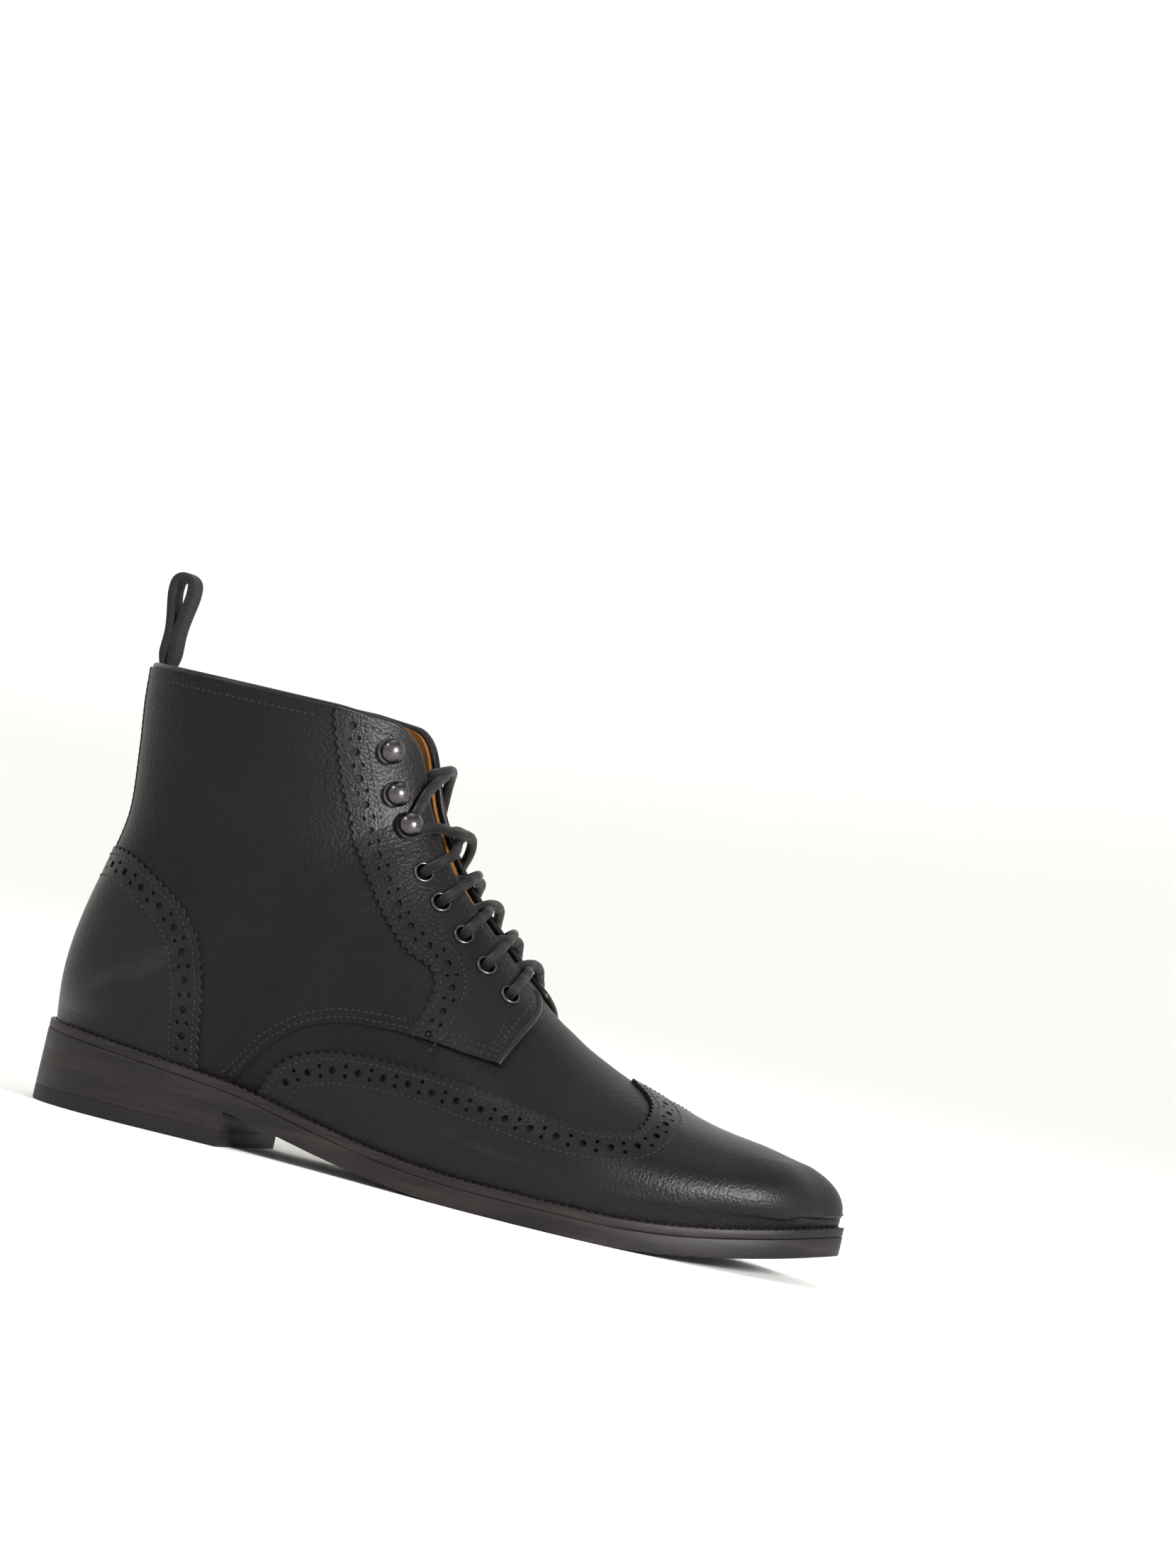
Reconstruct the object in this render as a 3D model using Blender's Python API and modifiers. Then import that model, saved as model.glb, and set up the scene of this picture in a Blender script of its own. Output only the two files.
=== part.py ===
"""Right brogue boot: a laced derby ankle boot with a wing cap, standing on its sole.

Metres, +Z up. The origin is on the floor at the centre of the heel's tread, +X points to the toe and
+Y to the medial (inner) side.
"""

import math

import bmesh
import bpy
import numpy as np
from mathutils import Matrix, Vector

MM = 0.001
LATERAL, MEDIAL = -1, 1

# Driving sizes of the last and the boot
LENGTH = 298 * MM
BALL_WIDTH = 106 * MM
WAIST_WIDTH = 63 * MM
HEEL_WIDTH = 65 * MM
HEEL_BACK = -39 * MM
TOE_HEIGHT = 44 * MM
INSTEP_HEIGHT = 90 * MM
BOOT_HEIGHT = 161 * MM
SHAFT_WIDTH = 74 * MM
ANKLE_WAIST = 10.6 * MM
TOE_SET = 1.2 * MM
TOE_SLOPE = 0.13
WALL_LEAN = 0.25

# Bottom unit
SEAT_HEIGHT = 19.5 * MM
BREAST_HEIGHT = 12.5 * MM
TOE_SPRING = 12.5 * MM
TREAD_LENGTH = 77.5 * MM
BREAST_SLANT = 6.5 * MM
TOP_LIFT_THICK = 5.6 * MM
OUTSOLE_THICK = 7 * MM
WELT_THICK = 3 * MM
WELT_WIDTH = 11 * MM
LEDGE = 4.0 * MM
EDGE_BEVEL = 0.8 * MM
LIFT_BEVEL = 0.5 * MM
STACK_BEVEL = 0.2 * MM
INSOLE_THICK = 2.4 * MM
INSOLE_CLEARANCE = 1.0 * MM

# Leather, trim and clearances
GAP = 0.3 * MM
WALL = 2.2 * MM
OVERLAY = 1.2 * MM
FACING_THICK = 1.5 * MM
BACK_STRIP_WIDTH = 9 * MM
BINDING_RADIUS = 1.2 * MM
BINDING_GAP = 0.5 * MM
BINDING_STEP = 7 * MM
TONGUE_THICK = 1.8 * MM
TONGUE_PULL = 0.2
LOOP_WIDTH = 12 * MM
LOOP_HEIGHT = 36 * MM
LOOP_SPREAD = 9.8 * MM
LOOP_NECK = 5.6 * MM
LOOP_LEAN = -0.9 * MM
LOOP_TAIL = 13 * MM
WEBBING = 1.4 * MM
EYELET_RADIUS = 3.6 * MM
EYELET_HOLE = 2.1 * MM
EYELET_RIM = 0.8 * MM
BARREL_WALL = 0.4 * MM
HOOK_RADIUS = 4.1 * MM
HOOK_BASE = 4.5 * MM
HOOK_STEM = 1.5 * MM
HOOK_RISE = 2.2 * MM
LACE_RADIUS = 1.8 * MM
LACE_STEP = 6.5 * MM

SOLE_OUTLINE = (
    # along, follows, lateral, medial
    (1.000, BALL_WIDTH, -0.038, 0.038),
    (0.985, BALL_WIDTH, 0.070, 0.146),
    (0.955, BALL_WIDTH, 0.180, 0.258),
    (0.905, BALL_WIDTH, 0.295, 0.360),
    (0.840, BALL_WIDTH, 0.397, 0.437),
    (0.760, BALL_WIDTH, 0.478, 0.483),
    (0.675, BALL_WIDTH, 0.508, 0.484),
    (0.585, BALL_WIDTH, 0.484, 0.402),
    (0.490, BALL_WIDTH, 0.415, 0.303),
    (0.390, WAIST_WIDTH, 0.580, 0.424),
    (0.300, HEEL_WIDTH, 0.520, 0.425),
    (0.220, HEEL_WIDTH, 0.508, 0.468),
    (0.140, HEEL_WIDTH, 0.500, 0.480),
    (0.070, HEEL_WIDTH, 0.430, 0.425),
    (0.022, HEEL_WIDTH, 0.270, 0.270),
    (0.000, HEEL_WIDTH, 0.000, 0.000),
)
SOLE_PROFILE = (
    # along, follows, height of the outsole's underside
    (0.000, SEAT_HEIGHT, 1.00),
    (0.262, BREAST_HEIGHT, 1.00),
    (0.330, BREAST_HEIGHT, 0.70),
    (0.385, BREAST_HEIGHT, 0.44),
    (0.450, BREAST_HEIGHT, 0.20),
    (0.520, BREAST_HEIGHT, 0.05),
    (0.580, BREAST_HEIGHT, 0.00),
    (0.745, TOE_SPRING, 0.00),
    (0.805, TOE_SPRING, 0.085),
    (0.855, TOE_SPRING, 0.24),
    (0.905, TOE_SPRING, 0.46),
    (0.955, TOE_SPRING, 0.72),
    (1.000, TOE_SPRING, 1.00),
)
# A rib is a section from the ridge line (the boot's top and front) down to the feather edge or the back
# seam. foot is where it meets the feather edge along the boot, seam its share of the back seam's height.
RIBS = (
    # along, up, follows, foot, seam, width, lateral, medial, widest, crown, shoulder, belly, root
    (0.876, 0.985, TOE_HEIGHT, 0.876, 0.0, BALL_WIDTH, 0.332, 0.380, 0.66, 0.56, 0.55, 0.50, 0.50),
    (0.819, 1.043, TOE_HEIGHT, 0.822, 0.0, BALL_WIDTH, 0.404, 0.430, 0.68, 0.56, 0.52, 0.50, 0.50),
    (0.768, 1.140, TOE_HEIGHT, 0.770, 0.0, BALL_WIDTH, 0.452, 0.460, 0.70, 0.55, 0.50, 0.50, 0.50),
    (0.718, 1.248, TOE_HEIGHT, 0.721, 0.0, BALL_WIDTH, 0.480, 0.470, 0.72, 0.53, 0.48, 0.50, 0.50),
    (0.668, 0.680, INSTEP_HEIGHT, 0.671, 0.0, BALL_WIDTH, 0.482, 0.455, 0.73, 0.51, 0.46, 0.50, 0.50),
    (0.621, 0.767, INSTEP_HEIGHT, 0.617, 0.0, BALL_WIDTH, 0.468, 0.420, 0.73, 0.50, 0.45, 0.50, 0.50),
    (0.579, 0.868, INSTEP_HEIGHT, 0.560, 0.0, BALL_WIDTH, 0.440, 0.378, 0.72, 0.52, 0.44, 0.50, 0.50),
    (0.540, 0.989, INSTEP_HEIGHT, 0.487, 0.0, BALL_WIDTH, 0.402, 0.340, 0.68, 0.58, 0.43, 0.50, 0.50),
    (0.507, 1.090, INSTEP_HEIGHT, 0.406, 0.0, SHAFT_WIDTH, 0.530, 0.455, 0.62, 0.64, 0.42, 0.50, 0.50),
    (0.478, 0.662, BOOT_HEIGHT, 0.319, 0.0, SHAFT_WIDTH, 0.500, 0.448, 0.56, 0.68, 0.42, 0.55, 0.50),
    (0.454, 0.714, BOOT_HEIGHT, 0.228, 0.0, SHAFT_WIDTH, 0.480, 0.452, 0.52, 0.70, 0.42, 0.60, 0.50),
    (0.436, 0.765, BOOT_HEIGHT, 0.138, 0.0, SHAFT_WIDTH, 0.468, 0.455, 0.49, 0.72, 0.42, 0.66, 0.50),
    (0.423, 0.807, BOOT_HEIGHT, 0.057, 0.0, SHAFT_WIDTH, 0.462, 0.455, 0.47, 0.72, 0.42, 0.70, 0.55),
    (0.412, 0.846, BOOT_HEIGHT, 0.000, 0.0, SHAFT_WIDTH, 0.460, 0.455, 0.46, 0.72, 0.42, 0.72, 0.62),
    (0.4035, 0.882, BOOT_HEIGHT, 0.000, 0.2, SHAFT_WIDTH, 0.460, 0.458, 0.46, 0.72, 0.42, 0.70, 0.66),
    (0.397, 0.914, BOOT_HEIGHT, 0.000, 0.4, SHAFT_WIDTH, 0.465, 0.463, 0.48, 0.72, 0.42, 0.66, 0.64),
    (0.392, 0.944, BOOT_HEIGHT, 0.000, 0.6, SHAFT_WIDTH, 0.475, 0.475, 0.51, 0.72, 0.42, 0.62, 0.60),
    (0.389, 0.972, BOOT_HEIGHT, 0.000, 0.8, SHAFT_WIDTH, 0.490, 0.490, 0.54, 0.72, 0.42, 0.58, 0.57),
    (0.3865, 1.000, BOOT_HEIGHT, 0.000, 1.0, SHAFT_WIDTH, 0.500, 0.500, 0.56, 0.72, 0.42, 0.56, 0.56),
)
TIP_WIDEST, TIP_CROWN = 0.80, 0.56
BACK_SEAM = (
    # up, in
    (0.000, 0.33),
    (0.155, 0.24),
    (0.310, 0.52),
    (0.460, 0.94),
    (0.610, 1.23),
    (0.770, 1.07),
    (0.920, 0.85),
    (1.000, 0.79),
)
LAST_RIB = len(RIBS) - 1

# Marks on the upper are (rib, depth) pairs: depth is 0 at the ridge, 1 at the widest, 2 at the foot.
MOUTH = (
    # rib, depth of the facings' free edge, from the throat's foot up to the collar
    (6.25, 0.12),
    (6.70, 0.14),
    (7.40, 0.15),
    (8.48, 0.16),
    (9.46, 0.175),
    (10.75, 0.186),
    (11.90, 0.185),
    (13.70, 0.185),
    (15.90, 0.21),
    (17.16, 0.277),
    (17.75, 0.36),
    (17.97, 0.47),
)
TAB = (
    # rib, depth of the facing's tab, from the throat's foot down to its corner
    (5.98, 0.11),
    (5.78, 0.18),
    (5.70, 0.27),
    (5.75, 0.41),
    (5.95, 0.658),
)
FACING_FOOT = (
    # rib, depth
    (6.75, 0.736),
    (7.37, 0.797),
    (7.88, 0.858),
)
FACING_BACK = (
    # rib, depth
    (7.86, 0.778),
    (7.90, 0.687),
    (8.00, 0.625),
    (8.24, 0.583),
    (8.77, 0.608),
    (9.46, 0.622),
    (10.46, 0.598),
    (11.91, 0.562),
    (14.03, 0.575),
    (15.57, 0.624),
    (16.82, 0.638),
    (17.95, 0.650),
)
COUNTER_EDGE = (
    # rib, depth, from the back seam down to the sole
    (15.42, 2.0),
    (15.30, 1.62),
    (14.94, 1.431),
    (14.41, 1.289),
    (13.80, 1.188),
    (13.10, 1.135),
    (12.10, 1.178),
    (11.40, 1.31),
    (10.83, 1.622),
    (10.46, 1.851),
    (10.14, 1.99),
)
WING_EDGE = (
    # rib, depth, from the sole at the waist to the peak on the ridge
    (9.28, 1.97),
    (9.33, 1.866),
    (9.31, 1.724),
    (9.13, 1.523),
    (8.79, 1.316),
    (8.37, 1.166),
    (7.78, 1.008),
    (6.85, 0.886),
    (5.76, 0.801),
    (4.81, 0.767),
    (3.89, 0.730),
    (3.16, 0.692),
    (2.69, 0.650),
    (2.38, 0.596),
    (2.22, 0.497),
    (2.20, 0.362),
    (2.32, 0.226),
    (2.72, 0.088),
    (3.12, 0.0),
)
EYELETS = ((6.45, 0.331), (7.31, 0.339), (8.30, 0.339), (9.40, 0.347), (10.48, 0.348))
HOOKS = ((12.51, 0.327), (14.26, 0.370), (16.51, 0.396))
TONGUE = (
    # rib, sink below the skin, reach (depth) to each side
    (5.60, 2.9 * MM, 0.42),
    (6.20, 3.4 * MM, 0.42),
    (7.00, 4.6 * MM, 0.42),
    (8.00, 6.0 * MM, 0.42),
    (9.50, 7.5 * MM, 0.42),
    (11.0, 8.5 * MM, 0.42),
    (12.5, 9.0 * MM, 0.42),
    (14.0, 9.5 * MM, 0.42),
    (15.5, 9.5 * MM, 0.42),
    (16.6, 9.5 * MM, 0.40),
    (17.0, 9.5 * MM, 0.34),
)

# Sampling of the upper's surface and of the sole's plates
RIB_STEPS = (
    # from rib, to rib, steps
    (-1, 0, 6),
    (0, 6, 6),
    (6, 9, 4),
    (9, 13, 8),
    (13, 18, 5),
)
DEPTHS = (0.0, 0.13, 0.27, 0.44, 0.62, 0.80, 1.0, 1.25, 1.5, 1.75, 2.0)
SOLE_STEPS = 30
HEEL_STEPS = 14
PLATE_END = 0.003
FAR = 400 * MM
CUT_REACH = 20 * MM


def chord_knots(points):
    return np.concatenate([[0], np.cumsum(np.linalg.norm(np.diff(points, axis=0), axis=1))])


class Spline:
    """A natural cubic through rows of values."""

    def __init__(self, knots, values):
        self.knots = np.asarray(knots, float)
        self.values = np.asarray(values, float)
        step = np.diff(self.knots)
        slope = np.diff(self.values, axis=0) / step[:, None]
        matrix = np.eye(len(self.knots))
        right = np.zeros_like(self.values)
        for i in range(1, len(step)):
            matrix[i, i - 1 : i + 2] = step[i - 1], 2 * (step[i - 1] + step[i]), step[i]
            right[i] = 6 * (slope[i] - slope[i - 1])
        self.bend = np.linalg.solve(matrix, right)

    def at(self, where):
        where = np.clip(where, self.knots[0], self.knots[-1])
        i = np.clip(np.searchsorted(self.knots, where, side="right") - 1, 0, len(self.knots) - 2)
        step = np.asarray(self.knots[i + 1] - self.knots[i])[..., None]
        b = (np.asarray(where)[..., None] - self.knots[i][..., None]) / step
        a = 1 - b
        bend = (a**3 - a) * self.bend[i] + (b**3 - b) * self.bend[i + 1]
        return a * self.values[i] + b * self.values[i + 1] + bend * step**2 / 6


def even_curve(knots, values):
    """A cubic through the values that never overshoots them, so equal rows stay flat between."""
    knots, values = np.asarray(knots, float), np.asarray(values, float)
    slope = np.diff(values) / np.diff(knots)
    tangent = np.concatenate([slope[:1], np.zeros(len(knots) - 2), slope[-1:]])
    for i in range(1, len(knots) - 1):
        if slope[i - 1] * slope[i] > 0:
            tangent[i] = 2 * slope[i - 1] * slope[i] / (slope[i - 1] + slope[i])

    def at(where):
        where = np.clip(where, knots[0], knots[-1])
        i = np.clip(np.searchsorted(knots, where, side="right") - 1, 0, len(knots) - 2)
        step = knots[i + 1] - knots[i]
        b = (where - knots[i]) / step
        ends = values[i] * (1 + 2 * b) * (1 - b) ** 2 + values[i + 1] * b**2 * (3 - 2 * b)
        return ends + step * b * (1 - b) * (tangent[i] * (1 - b) - tangent[i + 1] * b)

    return at


def bezier(a, b, c, d, t):
    return a * (1 - t) ** 3 + 3 * b * t * (1 - t) ** 2 + 3 * c * t**2 * (1 - t) + d * t**3


# Plan and profile of the sole


def x_at(share):
    return HEEL_BACK + share * LENGTH


def outline_loop():
    """The sole's outline from above, from the toe tip down the lateral side and back."""
    lateral = [(x_at(along), -width * out) for along, width, out, _ in SOLE_OUTLINE]
    medial = [(x_at(along), width * out) for along, width, _, out in SOLE_OUTLINE]
    loop = lateral + medial[-2:0:-1]
    points = np.array(loop[-3:] + loop + loop[:4])
    knots = chord_knots(points)
    return Spline(knots, points).at(np.linspace(knots[3], knots[len(loop) + 3], 721))[:-1]


def inset(loop, distance):
    """The outline moved inwards."""
    run = np.roll(loop, -1, axis=0) - np.roll(loop, 1, axis=0)
    run /= np.linalg.norm(run, axis=1)[:, None]
    return loop + np.stack([run[:, 1], -run[:, 0]], axis=1) * distance


def sides_of(loop):
    """The two sides of an outline, each from the toe tip to the heel's back."""
    loop = np.roll(loop, -int(np.argmax(loop[:, 0])), axis=0)
    back = int(np.argmin(loop[:, 0]))
    return {LATERAL: loop[: back + 1], MEDIAL: np.concatenate([loop[back:], loop[:1]])[::-1]}


def share_at(line, x):
    """Share of a side's length from the toe tip to where it passes x."""
    travel = chord_knots(line)
    order = np.argsort(line[:, 0])
    return np.interp(x, line[order, 0], travel[order]) / travel[-1]


def along_side(line, share):
    travel = chord_knots(line) / chord_knots(line)[-1]
    return np.array([np.interp(share, travel, line[:, k]) for k in (0, 1)])


OUTLINE = outline_loop()
under = even_curve([x_at(a) for a, _, _ in SOLE_PROFILE], [size * up for _, size, up in SOLE_PROFILE])
seam_in = even_curve([up for up, _ in BACK_SEAM], [share * ANKLE_WAIST for _, share in BACK_SEAM])


def sole_top(x):
    return under(x) + OUTSOLE_THICK + GAP + WELT_THICK


FEATHER = sides_of(inset(OUTLINE, LEDGE))
SEAM_FOOT = sole_top(FEATHER[LATERAL][-1, 0]) + GAP


def seam_x(z):
    return HEEL_BACK + seam_in((z - SEAM_FOOT) / (BOOT_HEIGHT - SEAM_FOOT))


# The upper's surface


def rib_spline(side):
    rows = []
    for along, up, size, foot, seam, width, lateral, medial, *handles in RIBS:
        path = share_at(FEATHER[side], x_at(foot)) if foot > 0 else 1 + seam
        half = width * (lateral if side == LATERAL else medial)
        rows.append((x_at(along), up * size, path, half, *handles))
    return Spline(range(len(RIBS)), rows)


RIB_SPLINES = {side: rib_spline(side) for side in (LATERAL, MEDIAL)}


def foot_of_rib(side, path):
    """Where a rib ends, and the direction of the feather edge there."""
    if path < 1:
        here = along_side(FEATHER[side], path)
        step = 0.004
        run = along_side(FEATHER[side], min(path + step, 1)) - along_side(FEATHER[side], path - step)
        return np.array([*here, sole_top(here[0]) + GAP]), run / np.linalg.norm(run)
    z = SEAM_FOOT + (path - 1) * (BOOT_HEIGHT - SEAM_FOOT)
    return np.array([seam_x(z), 0, z]), np.array([0, -side])


class Rib:
    """One section of the upper. Numbers below 0 fan out round the toe cap from the first row's ridge."""

    def __init__(self, side, number):
        x, z, path, half, widest, crown, shoulder, belly, root = RIB_SPLINES[side].at(max(number, 0))
        self.ridge = np.array([x, 0, z])
        if number < 0:
            side_foot = abs(foot_of_rib(side, path)[0][1])
            base, _ = foot_of_rib(side, path * (1 + number))
            flat = base[:2] - self.ridge[:2]
            self.end = np.linalg.norm(flat)
            tip = FEATHER[side][0] - self.ridge[:2]
            turn = ((tip[0] * flat[1] - tip[1] * flat[0]) / self.end / np.linalg.norm(tip)) ** 2
            self.out = np.array([*flat, -TOE_SLOPE * flat[0]]) / self.end
            self.down = np.array([0, 0, -1.0])
            self.length = z - TOE_SLOPE * flat[0] - base[2]
            half = self.end - TOE_SET + (half - side_foot + TOE_SET) * turn
            widest = TIP_WIDEST + (widest - TIP_WIDEST) * turn
            crown = TIP_CROWN + (crown - TIP_CROWN) * turn
            shoulder = TIP_CROWN + (shoulder - TIP_CROWN) * turn
            lean = np.array([-WALL_LEAN, 1])
        else:
            base, run = foot_of_rib(side, path)
            across = (base - self.ridge) * (1, 0, 1)
            self.end = abs(base[1])
            self.out = np.array([0, side, 0])
            self.length = np.linalg.norm(across)
            self.down = across / self.length
            lean = np.array([run[1] * side * abs(self.down[0]) - WALL_LEAN * abs(run[0]), abs(run[0])])
        self.lean = lean / np.linalg.norm(lean)
        self.half, self.deep = half, widest * self.length
        self.crown, self.shoulder, self.belly, self.root = crown, shoulder, belly, root

    def reach(self, depth):
        """How far out and down from the ridge the section passes."""
        rest = self.length - self.deep
        if depth <= 1:
            out = bezier(0, self.crown * self.half, self.half, self.half, depth)
            return out, bezier(0, 0, self.deep * (1 - self.shoulder), self.deep, depth)
        tail = self.root * (self.lean[1] * rest + abs(self.lean[0]) * self.half)
        out = bezier(self.half, self.half, self.end - self.lean[0] * tail, self.end, depth - 1)
        down = bezier(
            self.deep, self.deep + self.belly * rest, self.length - self.lean[1] * tail, self.length, depth - 1
        )
        return out, down

    def point(self, depth, pull=0, sink=0):
        out, down = self.reach(depth)
        return self.ridge + self.out * out * (1 - pull) + self.down * (down + sink)


def skin(side, rib, depth):
    return Rib(side, rib).point(depth)


def skin_normal(side, rib, depth):
    """The outward normal of the surface at a mark."""
    step = 0.02
    above, below = min(rib + step, LAST_RIB), max(rib - step, -1)
    along = skin(side, above, depth) - skin(side, below, depth)
    down = skin(side, rib, min(depth + step, 2)) - skin(side, rib, max(depth - step, 0))
    normal = np.cross(along, down) * -side
    return normal / np.linalg.norm(normal)


def above_skin(side, rib, depth, height):
    """A point this high above the skin. A negative depth is on the other side of the ridge."""
    side, depth = (side, depth) if depth >= 0 else (-side, -depth)
    return skin(side, rib, depth) + skin_normal(side, rib, max(depth, 0.02)) * height


def side_view(marks, side=LATERAL):
    return [tuple(skin(side, rib, depth)[[0, 2]]) for rib, depth in marks]


# Blender helpers


def clear_scene():
    for obj in list(bpy.data.objects):
        bpy.data.objects.remove(obj, do_unlink=True)


def collection(name):
    made = bpy.data.collections.new(name)
    bpy.context.scene.collection.children.link(made)
    return made


def material(name, colour, roughness, metallic=0.0):
    made = bpy.data.materials.new(name)
    made.use_nodes = True
    shader = made.node_tree.nodes["Principled BSDF"]
    shader.inputs["Base Color"].default_value = (*colour, 1)
    shader.inputs["Roughness"].default_value = roughness
    shader.inputs["Metallic"].default_value = metallic
    return made


def add_mesh(name, shape, finish, home):
    mesh = bpy.data.meshes.new(name)
    shape.to_mesh(mesh)
    shape.free()
    mesh.materials.append(finish)
    mesh.shade_smooth()
    mesh.set_sharp_from_angle(angle=math.radians(40))
    obj = bpy.data.objects.new(name, mesh)
    home.objects.link(obj)
    return obj


def cutter(obj):
    obj.hide_render = True
    obj.display_type = "WIRE"
    return obj


def boolean(obj, other, operation):
    modifier = obj.modifiers.new(operation.title(), "BOOLEAN")
    modifier.operation = operation
    modifier.object = other
    modifier.solver = "EXACT"


def loft(rings, closed=False):
    """A solid through rings of points, each ring a closed section; its ends are capped unless it closes."""
    shape = bmesh.new()
    made = [[shape.verts.new(point) for point in ring] for ring in rings]
    pairs = list(zip(made, made[1:] + made[:1])) if closed else list(zip(made, made[1:]))
    for ring, following in pairs:
        for i in range(len(ring)):
            j = (i + 1) % len(ring)
            shape.faces.new((ring[i], ring[j], following[j], following[i]))
    if not closed:
        shape.faces.new(made[0][::-1])
        shape.faces.new(made[-1])
    bmesh.ops.recalc_face_normals(shape, faces=shape.faces)
    return shape


def prism(name, outline, low, high, home):
    """A cutter: a side-view outline carried from y = low to y = high."""
    shape = bmesh.new()
    base = shape.faces.new([shape.verts.new((x, low, z)) for x, z in outline])
    top = bmesh.ops.extrude_face_region(shape, geom=[base])["geom"]
    bmesh.ops.translate(shape, vec=(0, high - low, 0), verts=[v for v in top if isinstance(v, bmesh.types.BMVert)])
    bmesh.ops.recalc_face_normals(shape, faces=shape.faces)
    mesh = bpy.data.meshes.new(name)
    shape.to_mesh(mesh)
    shape.free()
    obj = bpy.data.objects.new(name, mesh)
    home.objects.link(obj)
    return cutter(obj)


def tube_curve(name, points, radius, home, roundness=2):
    curve = bpy.data.curves.new(name, "CURVE")
    curve.dimensions = "3D"
    curve.bevel_depth = radius
    curve.bevel_resolution = roundness
    curve.use_fill_caps = True
    spline = curve.splines.new("POLY")
    spline.points.add(len(points) - 1)
    for place, point in zip(spline.points, points):
        place.co = (*point, 1)
    obj = bpy.data.objects.new(name, curve)
    home.objects.link(obj)
    return obj


def as_mesh(obj, home):
    """The curve as a closed mesh object, its caps welded on, in place of the curve."""
    name = obj.name
    graph = bpy.context.evaluated_depsgraph_get()
    mesh = bpy.data.meshes.new_from_object(obj.evaluated_get(graph))
    shape = bmesh.new()
    shape.from_mesh(mesh)
    bmesh.ops.remove_doubles(shape, verts=shape.verts, dist=0.001 * MM)
    bmesh.ops.recalc_face_normals(shape, faces=shape.faces)
    shape.to_mesh(mesh)
    shape.free()
    place = obj.matrix_world.copy()
    bpy.data.objects.remove(obj, do_unlink=True)
    made = bpy.data.objects.new(name, mesh)
    made.matrix_world = place
    home.objects.link(made)
    return made


def smooth_route(points, step):
    """Even points on a smooth curve through the route's own points."""
    points = np.array(points)
    knots = chord_knots(points)
    count = max(int(round(knots[-1] / step)), 3)
    return Spline(knots, points).at(np.linspace(0, knots[-1], count + 1))


def turned(name, profile, finish, home, place, axis, steps=10):
    """A turned piece: (radius, height) rows round the axis through place."""
    shape = bmesh.new()
    ring = [shape.verts.new((radius, 0, height)) for radius, height in profile]
    for a, b in zip(ring, ring[1:] + ring[:1]):
        shape.edges.new((a, b))
    obj = add_mesh(name, shape, finish, home)
    screw = obj.modifiers.new("Turn", "SCREW")
    screw.steps = screw.render_steps = steps
    screw.use_merge_vertices = True
    screw.merge_threshold = 0.0001
    screw.use_normal_calculate = True
    obj.matrix_world = Matrix.Translation(Vector(place)) @ Vector(axis).to_track_quat("Z", "Y").to_matrix().to_4x4()
    return obj


# Bottom unit


def side_points(loop, first, last, shares):
    """Matching points down both sides of an outline, from share first to share last."""
    sides = sides_of(loop)
    rows = {side: [along_side(line, first[side] + (last - first[side]) * u) for u in shares] for side, line in sides.items()}
    return list(zip(rows[LATERAL], rows[MEDIAL]))


def plate(loop, low, high, bevel, first=None):
    """A plate between two heights over an outline, its lower edge bevelled, or over its part behind first."""
    if first:
        shares = np.sin(np.linspace(0, math.pi / 2, HEEL_STEPS + 1))
    else:
        shares = (1 - np.cos(np.linspace(0, math.pi, SOLE_STEPS + 1))) / 2
        first = {LATERAL: PLATE_END, MEDIAL: PLATE_END}
    rows = side_points(loop, first, 1 - PLATE_END, shares)
    low_rows = side_points(inset(loop, bevel), first, 1 - PLATE_END, shares)
    rings = []
    for (left, right), (low_left, low_right) in zip(rows, low_rows):
        rings.append(
            [
                (*left, high(left[0])),
                (*left, low(left[0]) + bevel),
                (*low_left, low(low_left[0])),
                (*low_right, low(low_right[0])),
                (*right, low(right[0]) + bevel),
                (*right, high(right[0])),
            ]
        )
    return loft(rings)


def build_bottom(home, leather_edge, rubber, cork):
    add_mesh(
        "outsole",
        plate(OUTLINE, under, lambda x: under(x) + OUTSOLE_THICK, EDGE_BEVEL),
        leather_edge,
        home,
    )
    rings = []
    for outer, inner in list(zip(OUTLINE, inset(OUTLINE, WELT_WIDTH)))[::12]:
        low_out, low_in = under(outer[0]) + OUTSOLE_THICK + GAP, under(inner[0]) + OUTSOLE_THICK + GAP
        rings.append(
            [
                (*outer, low_out),
                (*outer, low_out + WELT_THICK),
                (*inner, low_in + WELT_THICK),
                (*inner, low_in),
            ]
        )
    add_mesh("welt", loft(rings, closed=True), leather_edge, home)

    sides = sides_of(OUTLINE)
    breast = {
        LATERAL: share_at(sides[LATERAL], HEEL_BACK + TREAD_LENGTH),
        MEDIAL: share_at(sides[MEDIAL], HEEL_BACK + TREAD_LENGTH + BREAST_SLANT),
    }
    add_mesh(
        "heel_stack",
        plate(OUTLINE, lambda x: TOP_LIFT_THICK + GAP, lambda x: under(x) - GAP, STACK_BEVEL, breast),
        leather_edge,
        home,
    )
    add_mesh(
        "heel_top_lift",
        plate(OUTLINE, lambda x: 0.0, lambda x: TOP_LIFT_THICK, LIFT_BEVEL, breast),
        rubber,
        home,
    )
    inside = inset(OUTLINE, LEDGE + WALL + INSOLE_CLEARANCE)
    add_mesh(
        "insole",
        plate(inside, lambda x: sole_top(x) + GAP, lambda x: sole_top(x) + GAP + INSOLE_THICK, STACK_BEVEL),
        cork,
        home,
    )


# The upper and its overlays


def rib_numbers():
    runs = [np.linspace(first, last, steps + 1)[:-1] for first, last, steps in RIB_STEPS]
    return [*np.concatenate(runs), LAST_RIB]


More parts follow.
